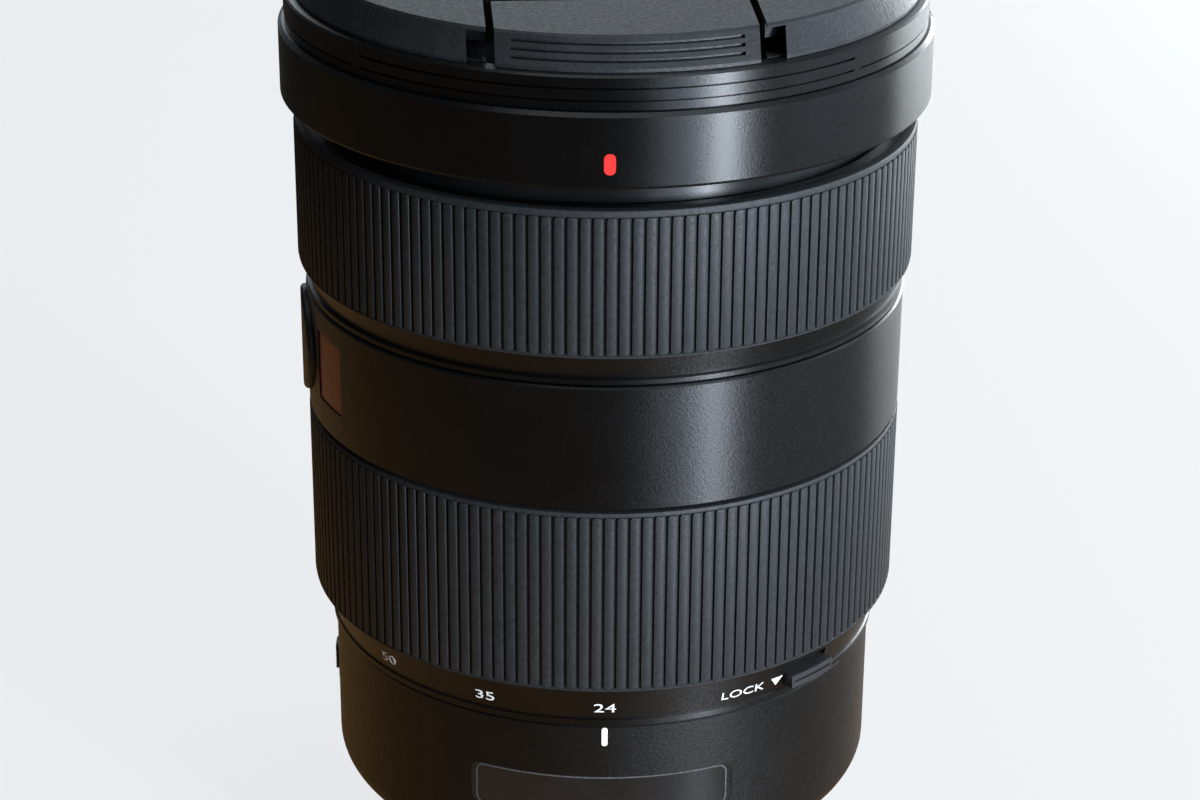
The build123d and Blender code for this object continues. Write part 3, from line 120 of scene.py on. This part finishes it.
# Light: a tall strip and a wider, dimmer panel beside it on the window side give the upright
# highlight. Panels to the right and behind lift the right flank and the cap, and an overhead panel
# and a dim room fill the rest. Camera and glass see the room pale.
room_light = (0.80, 0.88, 0.96, 1.0)
room_strength = 0.075
pale_room = (0.86, 0.89, 0.91, 1.0)
pale_room_strength = 0.9
room = bpy.data.worlds.new("room")
room.use_nodes = True
bpy.context.scene.world = room
room_nodes = room.node_tree.nodes
room_links = room.node_tree.links
room_nodes["Background"].inputs["Color"].default_value = room_light
room_nodes["Background"].inputs["Strength"].default_value = room_strength
seen_room = room_nodes.new("ShaderNodeBackground")
seen_room.inputs["Color"].default_value = pale_room
seen_room.inputs["Strength"].default_value = pale_room_strength
room_path = room_nodes.new("ShaderNodeLightPath")
room_seen = room_nodes.new("ShaderNodeMath")
room_seen.operation = "MAXIMUM"
room_links.new(room_path.outputs["Is Camera Ray"], room_seen.inputs[0])
room_links.new(room_path.outputs["Is Transmission Ray"], room_seen.inputs[1])
room_mix = room_nodes.new("ShaderNodeMixShader")
room_links.new(room_seen.outputs[0], room_mix.inputs[0])
room_links.new(room_nodes["Background"].outputs[0], room_mix.inputs[1])
room_links.new(seen_room.outputs[0], room_mix.inputs[2])
room_links.new(room_mix.outputs[0], room_nodes["World Output"].inputs["Surface"])


def soft_panel(name, place, aim_height, size, watts, colour):
    """A rectangular lamp that faces the middle of the lens at the given height."""
    data = bpy.data.lights.new(name, "AREA")
    data.shape = "RECTANGLE"
    data.size = size[0]
    data.size_y = size[1]
    data.energy = watts
    data.color = colour
    lamp = bpy.data.objects.new(name, data)
    lamp.location = place
    aim = Vector((0, 0, aim_height)) - Vector(place)
    lamp.rotation_euler = aim.to_track_quat("-Z", "Y").to_euler()
    bpy.context.collection.objects.link(lamp)


soft_panel("window_glow", place=(0.40, -0.75, 0.17), aim_height=0.09, size=(0.32, 0.30),
           watts=3.2, colour=(0.70, 0.84, 1.0))
soft_panel("window_strip", place=(0.54, -0.66, 0.17), aim_height=0.09, size=(0.08, 0.30),
           watts=14.0, colour=(0.80, 0.89, 1.0))
soft_panel("wall_panel", place=(1.00, -0.10, 0.34), aim_height=0.09, size=(0.90, 0.60),
           watts=8.0, colour=(0.74, 0.87, 1.0))
soft_panel("rear_wall", place=(0.30, 1.50, 0.62), aim_height=0.09, size=(2.40, 0.90),
           watts=9.0, colour=(0.84, 0.93, 1.0))
soft_panel("rear_strip", place=(0.52, 0.52, 0.11), aim_height=0.06, size=(0.56, 0.20),
           watts=7.0, colour=(0.88, 0.96, 1.0))
soft_panel("ceiling_panel", place=(0.10, 0.00, 1.20), aim_height=0.05, size=(1.00, 1.00),
           watts=6.0, colour=(0.86, 0.94, 1.0))


# Mount: a bright plated brass bayonet, turned on a lathe and held to the rear barrel by four small
# cross-head screws, with a rubber skirt round it that keeps dust out of the joint.
def surface(name, colour, roughness, metallic=0.0, specular=0.5):
    """A named material with its principled shader set; returns both and the node tree."""
    material = bpy.data.materials.new(name)
    material.use_nodes = True
    tree = material.node_tree
    shader = tree.nodes["Principled BSDF"]
    shader.inputs["Base Color"].default_value = (*colour, 1.0)
    shader.inputs["Roughness"].default_value = roughness
    shader.inputs["Metallic"].default_value = metallic
    shader.inputs["Specular IOR Level"].default_value = specular
    return material, shader, tree


def grain(tree, per_metre, stretch=(1, 1, 1), detail=2.0):
    """Noise on object coordinates, in repeats per metre, stretched along the axes."""
    place = tree.nodes.new("ShaderNodeTexCoord")
    mapping = tree.nodes.new("ShaderNodeMapping")
    mapping.inputs["Scale"].default_value = stretch
    noise = tree.nodes.new("ShaderNodeTexNoise")
    noise.inputs["Scale"].default_value = per_metre
    noise.inputs["Detail"].default_value = detail
    tree.links.new(place.outputs["Object"], mapping.inputs["Vector"])
    tree.links.new(mapping.outputs["Vector"], noise.inputs["Vector"])
    return noise.outputs["Fac"]


def vary_roughness(tree, shader, source, low, high):
    """Drives the roughness from a noise, between two values."""
    spread = tree.nodes.new("ShaderNodeMapRange")
    spread.inputs["From Min"].default_value = 0.3
    spread.inputs["From Max"].default_value = 0.7
    spread.inputs["To Min"].default_value = low
    spread.inputs["To Max"].default_value = high
    tree.links.new(source, spread.inputs["Value"])
    tree.links.new(spread.outputs["Result"], shader.inputs["Roughness"])


def tint(tree, shader, source, dark, light):
    """Drives the colour from a noise, between two colours."""
    ramp = tree.nodes.new("ShaderNodeValToRGB")
    ramp.color_ramp.elements[0].position = 0.32
    ramp.color_ramp.elements[0].color = (*dark, 1.0)
    ramp.color_ramp.elements[1].position = 0.68
    ramp.color_ramp.elements[1].color = (*light, 1.0)
    tree.links.new(source, ramp.inputs["Fac"])
    tree.links.new(ramp.outputs["Color"], shader.inputs["Base Color"])


def relief(tree, shader, source, depth):
    """Bumps the surface by a noise, to a depth in metres."""
    bump = tree.nodes.new("ShaderNodeBump")
    bump.inputs["Strength"].default_value = 1.0
    bump.inputs["Distance"].default_value = depth
    tree.links.new(source, bump.inputs["Height"])
    tree.links.new(bump.outputs["Normal"], shader.inputs["Normal"])


def turned_metal(name, dark, light, roughness):
    """Bare or plated metal with the fine rings that a lathe leaves."""
    material, shader, tree = surface(name, light, roughness, metallic=1.0)
    rings = grain(tree, per_metre=9000.0, stretch=(0.02, 0.02, 1.0), detail=3.0)
    vary_roughness(tree, shader, rings, low=roughness * 0.75, high=roughness * 1.35)
    tint(tree, shader, grain(tree, per_metre=260.0), dark, light)
    relief(tree, shader, rings, depth=0.000004)
    return material


def dress(material, *nodes):
    """Gives CAD nodes a finish; their shape and place stay as they are."""
    for node in nodes:
        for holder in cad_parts[node].material_slots:
            holder.material = material


mount_plating = turned_metal("mount_plating", dark=(0.56, 0.55, 0.52), light=(0.72, 0.71, 0.68),
                             roughness=0.24)
dress(mount_plating, "mount_ring")
screw_plating = turned_metal("screw_plating", dark=(0.34, 0.34, 0.35), light=(0.55, 0.55, 0.56),
                             roughness=0.30)
dress(screw_plating, "mount_screws")

seal_rubber, seal_shader, seal_tree = surface("seal_rubber", (0.02, 0.02, 0.022), roughness=0.75)
tint(seal_tree, seal_shader, grain(seal_tree, per_metre=900.0), dark=(0.014, 0.014, 0.016),
     light=(0.028, 0.028, 0.03))
relief(seal_tree, seal_shader, grain(seal_tree, per_metre=5200.0), depth=0.00002)
dress(seal_rubber, "mount_gasket")


# Rear opening: inside the mount a matt black plastic funnel shades the last glass, and a moulded
# block holds ten gold-plated sprung contacts that touch the camera's row.
def moulded(name, dark, light, roughness, pores_per_metre=2600.0, depth=0.00002, specular=0.4):
    """Injection-moulded plastic with the fine spark-eroded texture of its tool."""
    material, shader, tree = surface(name, dark, roughness, specular=specular)
    pores = grain(tree, pores_per_metre, detail=3.0)
    tint(tree, shader, grain(tree, per_metre=190.0), dark, light)
    vary_roughness(tree, shader, pores, low=roughness * 0.85, high=min(1.0, roughness * 1.15))
    relief(tree, shader, pores, depth)
    return material


shade_plastic = moulded("shade_plastic", dark=(0.010, 0.010, 0.011), light=(0.017, 0.017, 0.018),
                        roughness=0.72)
dress(shade_plastic, "rear_baffle", "contact_block")
contact_gold = turned_metal("contact_gold", dark=(0.70, 0.48, 0.16), light=(0.86, 0.63, 0.27),
                            roughness=0.20)
dress(contact_gold, "contact_pins")


# Rear barrel: the fixed rear shell is a magnesium casting in a satin black paint with a fine
# sprayed grain. It stands still while the zoom ring above it turns against its white index line.
def sprayed(name, dark, light, roughness, drops_per_metre, depth, specular, turning=0.8):
    """Satin paint with a fine spray grain over a ring that was turned on a lathe."""
    material, shader, tree = surface(name, dark, roughness, specular=specular)
    lathe = tree.nodes.new("ShaderNodeTangent")
    lathe.direction_type = "RADIAL"
    lathe.axis = "Z"
    tree.links.new(lathe.outputs["Tangent"], shader.inputs["Tangent"])
    shader.inputs["Anisotropic"].default_value = turning
    shader.inputs["Anisotropic Rotation"].default_value = 0.25
    droplets = grain(tree, drops_per_metre, detail=4.0)
    tint(tree, shader, grain(tree, per_metre=120.0), dark, light)
    vary_roughness(tree, shader, droplets, low=roughness * 0.86, high=roughness * 1.2)
    relief(tree, shader, droplets, depth)
    return material


rear_paint = sprayed("rear_paint", dark=(0.0010, 0.0010, 0.0010), light=(0.0021, 0.0020, 0.0019),
                     roughness=0.42, drops_per_metre=3000.0, depth=0.000030, specular=0.34,
                     turning=0.4)
dress(rear_paint, "rear_barrel")


def wrap(drawing, angle, height, radius, flare):
    """Lays a flat drawing round the barrel, with x along the girth and y up the wall. The wall has
    the radius at the drawing's own height and widens by the flare for each metre above it."""
    for vert in drawing.verts:
        wall = radius + flare * vert.co.y
        turn = math.radians(angle) + vert.co.x / wall
        vert.co = (wall * math.sin(turn), -wall * math.cos(turn), height + vert.co.y)


def paint_mark(name, drawing, angle, height, radius, body, ink, flare=0.0, cuts=8):
    """Turns a flat drawing into a thin raised ink layer on the barrel, for print and painted
    highlights.
    """
    ink_thickness = 0.00004
    longest_flat = 0.0015
    bmesh.ops.subdivide_edges(drawing, cuts=cuts, use_grid_fill=True,
                              edges=[e for e in drawing.edges if e.calc_length() > longest_flat])
    bmesh.ops.triangulate(drawing, faces=[f for f in drawing.faces if len(f.verts) > 4])
    wrap(drawing, angle, height, radius + ink_thickness / 2, flare)
    bmesh.ops.recalc_face_normals(drawing, faces=drawing.faces)
    outward = sum(face.normal.xy.dot(face.calc_center_median().xy) for face in drawing.faces)
    if outward < 0:
        bmesh.ops.reverse_faces(drawing, faces=drawing.faces)
    bmesh.ops.solidify(drawing, geom=drawing.faces, thickness=-ink_thickness)
    mesh = bpy.data.meshes.new(name)
    drawing.to_mesh(mesh)
    drawing.free()
    mesh.materials.append(ink)
    piece = bpy.data.objects.new(name, mesh)
    bpy.context.collection.objects.link(piece)
    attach(piece, body)


def slot_drawing(width, height, corner):
    """A flat rounded rectangle."""
    drawing = bmesh.new()
    bmesh.ops.create_grid(drawing, x_segments=1, y_segments=1, size=0.5)
    bmesh.ops.scale(drawing, vec=(width, height, 1), verts=drawing.verts)
    bmesh.ops.bevel(drawing, geom=drawing.verts[:], offset=corner, offset_type="OFFSET",
                    segments=6, profile=0.5, affect="VERTICES", material=-1)
    return drawing


def print_ink(name, dark, light):
    """Matt ink, a little uneven where the screen laid it thinner. It serves for print and for a
    painted highlight.
    """
    material, shader, tree = surface(name, light, roughness=0.55)
    tint(tree, shader, grain(tree, per_metre=3000.0), dark, light)
    return material


rear_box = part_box("rear_barrel")
rear_radius = rear_box[1][0]
index_angle = 0.6
index_drop = 0.0016
white_ink = print_ink("white_ink", dark=(0.70, 0.69, 0.66), light=(0.86, 0.85, 0.82))
paint_mark("zoom_index_line", slot_drawing(width=0.0008, height=0.0028, corner=0.00036),
           angle=index_angle, height=rear_box[1][2] - index_drop, radius=rear_radius,
           body="main_barrel", ink=white_ink)

# Name plate: a thin aluminium plate with rounded corners, lacquered gloss black and let into the
# front of the rear barrel. A fine grey line of ink round its edge is a painted highlight for the
# light its rim catches.
plate_lacquer = sprayed("plate_lacquer", dark=(0.006, 0.006, 0.0065), light=(0.009, 0.009, 0.0095),
                        roughness=0.22, drops_per_metre=6000.0, depth=0.000002, specular=0.5)
dress(plate_lacquer, "name_plate")
# Painted highlight: a fine grey ink line stands in for the light caught along the plate's rim.
plate_rim_highlight = print_ink("plate_rim_highlight", dark=(0.035, 0.036, 0.038), light=(0.070, 0.071, 0.075))
line_width = 0.00022
border_drawing = slot_drawing(width=0.0354, height=0.0063, corner=0.0013)
border_rim = bmesh.ops.inset_region(border_drawing, faces=border_drawing.faces[:],
                                    thickness=line_width, use_boundary=True,
                                    use_even_offset=True)["faces"]
bmesh.ops.delete(border_drawing, geom=[f for f in border_drawing.faces if f not in border_rim],
                 context="FACES")
plate_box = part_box("name_plate")
paint_mark("name_plate_painted_highlight", border_drawing, angle=0.0,
           height=(plate_box[0][2] + plate_box[1][2]) / 2, radius=-plate_box[0][1],
           body="main_barrel", ink=plate_rim_highlight, cuts=40)

# Focus switch: on the left side a small moulded plate carries a sliding knob with three grooves
# across it. White letters beside it mark automatic focus above and manual focus below.
switch_plastic = moulded("switch_plastic", dark=(0.012, 0.012, 0.013), light=(0.018, 0.018, 0.019),
                         roughness=0.55)
dress(switch_plastic, "switch_plate")
knob_plastic = moulded("knob_plastic", dark=(0.018, 0.018, 0.019), light=(0.026, 0.026, 0.028),
                       roughness=0.48)
dress(knob_plastic, "mode_switch")


def lettering(text, height, widen):
    """Flat letters of a given cap height, as a drawing to be wrapped."""
    cap_share = 0.7
    merge_distance = 0.000001
    curve = bpy.data.curves.new(text, "FONT")
    curve.body = text
    curve.size = height / cap_share
    curve.align_x = "CENTER"
    curve.align_y = "CENTER"
    curve.resolution_u = 4
    words = bpy.data.objects.new(text, curve)
    mesh = bpy.data.meshes.new_from_object(words)
    drawing = bmesh.new()
    drawing.from_mesh(mesh)
    bmesh.ops.remove_doubles(drawing, verts=drawing.verts, dist=merge_distance)
    bmesh.ops.scale(drawing, vec=(widen, 1, 1), verts=drawing.verts)
    bpy.data.objects.remove(words)
    bpy.data.meshes.remove(mesh)
    return drawing


switch_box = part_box("switch_plate")
switch_middle = (switch_box[0][2] + switch_box[1][2]) / 2
letters_angle = -83.0
letters_rise = 0.0024
for word, rise in (("AF", letters_rise), ("MF", -letters_rise)):
    paint_mark("switch_letters_" + word.lower(), lettering(word, height=0.0014, widen=1.1),
               angle=letters_angle, height=switch_middle + rise, radius=rear_radius,
               body="main_barrel", ink=white_ink)

# Zoom ring: a black ring whose lower edge is a smooth cone with the printed focal lengths. It
# turns with its rubber, and a small grooved slider in the cone locks it at the short end.
ring_paint = sprayed("ring_paint", dark=(0.0012, 0.0011, 0.0010), light=(0.0022, 0.0020, 0.0018),
                     roughness=0.34, drops_per_metre=3400.0, depth=0.000014, specular=0.42)
dress(ring_paint, "zoom_ring")
dress(knob_plastic, "zoom_lock")

ring_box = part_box("zoom_ring")
zoom_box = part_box("zoom_rubber")
bead_height = 0.0008
edge_step = 0.0002
cone_low = ring_box[0][2] + bead_height + edge_step
cone_high = zoom_box[0][2] - edge_step
cone_low_radius = 0.03872
cone_high_radius = ring_box[1][0] - edge_step
cone_flare = (cone_high_radius - cone_low_radius) / (cone_high - cone_low)


def print_on_cone(name, drawing, angle, rise):
    """Prints a white mark on the scale cone, at a rise above its lower bead. The cone widens from
    there to the rubber."""
    paint_mark(name, drawing, angle, cone_low + rise, cone_low_radius + cone_flare * rise,
               "zoom", white_ink, flare=cone_flare)


for focal_length, turn, number_rise in (("24", index_angle, 0.0017), ("35", -23.7, 0.00175),
                                        ("50", -48.4, 0.0019), ("70", -71.0, 0.0020)):
    print_on_cone("scale_number_" + focal_length,
                  lettering(focal_length, height=0.00142, widen=1.55),
                  angle=turn, rise=number_rise)
print_on_cone("lock_letters", lettering("LOCK", height=0.00120, widen=1.5),
              angle=29.1, rise=0.0016)
arrow_radius = 0.0010
arrow_stretch = (1.15, 0.85, 1)
arrow_drawing = bmesh.new()
bmesh.ops.create_circle(arrow_drawing, cap_ends=True, segments=3, radius=arrow_radius)
bmesh.ops.rotate(arrow_drawing, cent=(0, 0, 0), matrix=Matrix.Rotation(math.pi, 3, "Z"),
                 verts=arrow_drawing.verts)
bmesh.ops.scale(arrow_drawing, vec=arrow_stretch, verts=arrow_drawing.verts)
print_on_cone("lock_arrow", arrow_drawing, angle=37.2, rise=0.00185)


# Zoom grip: a moulded rubber sleeve stretched over the zoom ring. It has 158 flat upright ribs
# with rounded ends, narrow dark grooves between them and a smooth lip along the top.
def turned(bm, outline, steps):
    """Spins a closed outline of (radius, height) points into a ring."""
    verts = [bm.verts.new((radius, 0, height)) for radius, height in outline]
    edges = [bm.edges.new((verts[i], verts[(i + 1) % len(verts)])) for i in range(len(verts))]
    bmesh.ops.spin(bm, geom=verts + edges, cent=(0, 0, 0), axis=(0, 0, 1), angle=math.tau,
                   steps=steps, use_merge=True)


def ribbed_grip(name, node, body, box, ribs, top_lip):
    """A rubber sleeve with upright ribs, in place of the plainer one of the frame."""
    rubber_depth = 0.0013
    groove = 0.00042
    sunk = 0.00025
    rib_share = 0.74
    rib_round_share = 0.28
    rib_edge = 0.00008
    near_crest = 0.00001
    low_lip = 0.00035
    lip_step = 0.00007
    lip_edge = 0.0001
    sharp_angle = math.radians(38)
    low, high, crest = box[0][2], box[1][2], box[1][0]
    low_end = low + low_lip
    high_end = high - top_lip
    seat = crest - rubber_depth
    floor_radius = crest - groove
    lip_radius = crest - lip_step
    width = rib_share * math.tau * crest / ribs
    bm = bmesh.new()
    bmesh.ops.create_cube(bm, size=1.0)
    bmesh.ops.scale(bm, vec=(groove + sunk, width, high_end - low_end), verts=bm.verts)
    bmesh.ops.translate(bm, vec=(crest - (groove + sunk) / 2, 0, (low_end + high_end) / 2),
                        verts=bm.verts)
    ends = [e for e in bm.edges if abs(e.verts[0].co.x - e.verts[1].co.x) > groove / 2]
    bmesh.ops.bevel(bm, geom=ends, offset=width * rib_round_share, offset_type="OFFSET",
                    segments=3, profile=0.5, affect="EDGES", material=-1)
    rim = [e for e in bm.edges if min(v.co.x for v in e.verts) > crest - near_crest]
    bmesh.ops.bevel(bm, geom=rim, offset=rib_edge, offset_type="OFFSET", segments=2,
                    profile=0.5, affect="EDGES", material=-1)
    inner = [f for f in bm.faces if f.calc_center_median().x < floor_radius - sunk / 2]
    bmesh.ops.delete(bm, geom=inner, context="FACES_ONLY")
    bmesh.ops.holes_fill(bm, edges=[e for e in bm.edges if e.is_boundary])
    bmesh.ops.spin(bm, geom=bm.verts[:] + bm.edges[:] + bm.faces[:], cent=(0, 0, 0),
                   axis=(0, 0, 1), angle=math.tau * (ribs - 1) / ribs, steps=ribs - 1,
                   use_duplicate=True)
    turned(bm, [(seat, low), (lip_radius - 2 * lip_edge, low), (lip_radius, low + lip_edge),
                (lip_radius, low_end - lip_edge), (lip_radius - lip_edge, low_end),
                (floor_radius, low_end + 2 * lip_edge), (floor_radius, high_end - 2 * lip_edge),
                (lip_radius - lip_edge, high_end), (lip_radius, high_end + lip_edge),
                (lip_radius, high - 3 * lip_edge), (lip_radius - lip_edge, high - lip_edge),
                (crest - 4 * lip_edge, high), (seat, high)], ribs * 2)
    bmesh.ops.recalc_face_normals(bm, faces=bm.faces)
    for face in bm.faces:
        face.smooth = True
    mesh = bpy.data.meshes.new(name)
    bm.to_mesh(mesh)
    bm.free()
    mesh.set_sharp_from_angle(angle=sharp_angle)
    mesh.materials.append(grip_rubber)
    piece = bpy.data.objects.new(name, mesh)
    bpy.context.collection.objects.link(piece)
    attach(piece, body)
    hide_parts(node)


grip_rubber, grip_shader, grip_tree = surface("grip_rubber", (0.021, 0.0225, 0.024),
                                              roughness=0.62, specular=0.4)
tint(grip_tree, grip_shader, grain(grip_tree, per_metre=1500.0, detail=6.0),
     dark=(0.0055, 0.0063, 0.0071), light=(0.0135, 0.0148, 0.0162))
grip_pores = grain(grip_tree, per_metre=4200.0, detail=3.0)
vary_roughness(grip_tree, grip_shader, grip_pores, low=0.52, high=0.72)
relief(grip_tree, grip_shader, grip_pores, depth=0.00003)
ribbed_grip("zoom_grip", "zoom_rubber", "zoom", zoom_box, ribs=158, top_lip=0.0007)

# Middle barrel: a fixed casting in satin black paint. A small red-brown enamel badge sits in a
# pocket at the left. Beside it the round focus hold button stands a little proud and is pressed
# inwards against a dome switch.
barrel_paint = sprayed("barrel_paint", dark=(0.0012, 0.0012, 0.0013),
                       light=(0.0022, 0.0022, 0.0023), roughness=0.34, drops_per_metre=3300.0,
                       depth=0.000018, specular=0.40)
dress(barrel_paint, "middle_barrel")
badge_enamel = sprayed("badge_enamel", dark=(0.17, 0.014, 0.012), light=(0.21, 0.020, 0.016),
                       roughness=0.28, drops_per_metre=4200.0, depth=0.000004, specular=0.5)
dress(badge_enamel, "badge_inlay")
button_plastic = moulded("button_plastic", dark=(0.010, 0.010, 0.0105),
                         light=(0.016, 0.016, 0.017), roughness=0.42, pores_per_metre=3400.0)
dress(button_plastic, "hold_button")
dress(shade_plastic, "hold_switch")

# Focus grip: the focus rubber is moulded like the zoom rubber, with 162 ribs and a wider smooth
# lip above them, and it rides on the focus ring, which turns without end.
dress(ring_paint, "focus_ring")
focus_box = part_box("focus_rubber")
ribbed_grip("focus_grip", "focus_rubber", "focus_control", focus_box, ribs=162, top_lip=0.0010)

# Front ring: the widest ring is smooth satin black, with a stepped bayonet for the hood above it
# and a short red line that shows where the hood goes on.
front_paint = sprayed("front_paint", dark=(0.0009, 0.0009, 0.0010), light=(0.0018, 0.0018, 0.0019),
                      roughness=0.31, drops_per_metre=4200.0, depth=0.000012, specular=0.42)
dress(front_paint, "front_ring")
front_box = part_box("front_ring")
hood_mark_rise = 0.0034
red_ink = print_ink("red_ink", dark=(0.56, 0.006, 0.003), light=(0.68, 0.010, 0.005))
paint_mark("hood_index_mark", slot_drawing(width=0.00145, height=0.0027, corner=0.00066),
           angle=0.7, height=front_box[0][2] + hood_mark_rise, radius=front_box[1][0],
           body="front_barrel", ink=red_ink)

# Front tube and trim: an aluminium tube, anodised black and finely turned, slides out of the focus
# ring when the zoom is turned, past a felt wiper. The stepped plastic trim ring holds the front
# glass and stops reflections.
anodised = sprayed("anodised", dark=(0.0040, 0.0041, 0.0045), light=(0.0056, 0.0057, 0.0062),
                   roughness=0.30, drops_per_metre=7000.0, depth=0.000003, specular=0.5)
dress(anodised, "extension_tube")
trim_plastic = moulded("trim_plastic", dark=(0.008, 0.008, 0.0085), light=(0.013, 0.013, 0.014),
                       roughness=0.60)
dress(trim_plastic, "trim_ring")
felt, felt_shader, felt_tree = surface("felt", (0.01, 0.01, 0.01), roughness=0.95, specular=0.1)
tint(felt_tree, felt_shader, grain(felt_tree, per_metre=6000.0), dark=(0.006, 0.006, 0.006),
     light=(0.018, 0.018, 0.018))
relief(felt_tree, felt_shader, grain(felt_tree, per_metre=7000.0), depth=0.00006)
dress(felt, "front_seal")

# Cams and guides: steel pins on the moving cells run in the slots of two nested anodised tubes. A
# steel key carries the turn of the zoom ring to the tube with the slanted slots, and two steel
# rods guide the focus cell.
dress(anodised, "cam_tube", "guide_tube")
dress(screw_plating, "front_followers", "variator_followers", "relay_followers", "focus_rods",
      "drive_key")


# Glass: the ground glass elements are coated on both sides, which leaves a faint green or violet
# reflection on otherwise clear surfaces. Each group sits in its own matt black cell.
def coated_glass(name, film_nanometres, tone):
    """Clear optical glass under a thin anti-reflection coating."""
    material, shader, tree = surface(name, tone, roughness=0.02)
    shader.inputs["Transmission Weight"].default_value = 1.0
    shader.inputs["IOR"].default_value = 1.62
    shader.inputs["Thin Film Thickness"].default_value = film_nanometres
    shader.inputs["Thin Film IOR"].default_value = 1.38
    vary_roughness(tree, shader, grain(tree, per_metre=60.0), low=0.01, high=0.03)
    return material


green_glass = coated_glass("coated_glass_green", film_nanometres=420.0, tone=(0.95, 0.98, 0.96))
dress(green_glass, "front_lens_1", "variator_lens_1", "relay_lens_1", "focus_lens")
violet_glass = coated_glass("coated_glass_violet", film_nanometres=300.0, tone=(0.96, 0.95, 0.98))
dress(violet_glass, "front_lens_2", "variator_lens_2", "relay_lens_2", "rear_lens")
dress(shade_plastic, "front_cell", "variator_cell", "relay_cell", "focus_cell")

# Iris and motors: nine thin steel blades, dyed matt black, lie round the opening. A plastic ring
# turned by a small steel-cased motor draws them all in together, and a second motor moves the
# focus cell.
blade_count = 9
blade_steel, blade_shader, blade_tree = surface("blade_steel", (0.012, 0.012, 0.013),
                                                roughness=0.55, metallic=0.4)
tint(blade_tree, blade_shader, grain(blade_tree, per_metre=900.0, stretch=(1, 6, 1)),
     dark=(0.009, 0.009, 0.010), light=(0.018, 0.018, 0.019))
for number in range(1, blade_count + 1):
    dress(blade_steel, "iris_blade_" + str(number))
dress(shade_plastic, "iris_plate", "iris_ring")
motor_steel = turned_metal("motor_steel", dark=(0.30, 0.30, 0.31), light=(0.44, 0.44, 0.46),
                           roughness=0.32)
dress(motor_steel, "iris_motor", "focus_motor")

# Electronics: a green circuit board lies on the floor of the rear barrel, and an amber film ribbon
# joins it to the contacts.
board_mask, board_shader, board_tree = surface("board_mask", (0.01, 0.08, 0.03), roughness=0.4)
tint(board_tree, board_shader, grain(board_tree, per_metre=700.0, detail=6.0),
     dark=(0.008, 0.06, 0.022), light=(0.014, 0.11, 0.04))
dress(board_mask, "main_board")
ribbon_film, ribbon_shader, ribbon_tree = surface("ribbon_film", (0.30, 0.12, 0.02),
                                                  roughness=0.35)
tint(ribbon_tree, ribbon_shader, grain(ribbon_tree, per_metre=1800.0, stretch=(6, 1, 1)),
     dark=(0.20, 0.075, 0.012), light=(0.36, 0.15, 0.03))
dress(ribbon_film, "board_flex")

# Front cap: a moulded disc in the filter thread, in dark grey plastic with a fine leathery
# texture. Two sprung grips, each with three grooves in its wall, are squeezed to free it.
cap_plastic = moulded("cap_plastic", dark=(0.0065, 0.0072, 0.008), light=(0.0110, 0.012, 0.013),
                      roughness=0.50, pores_per_metre=1900.0, depth=0.00006, specular=0.45)
dress(cap_plastic, "cap_body", "cap_grip_front", "cap_grip_back")

bpy.context.scene.view_settings.view_transform = "Standard"
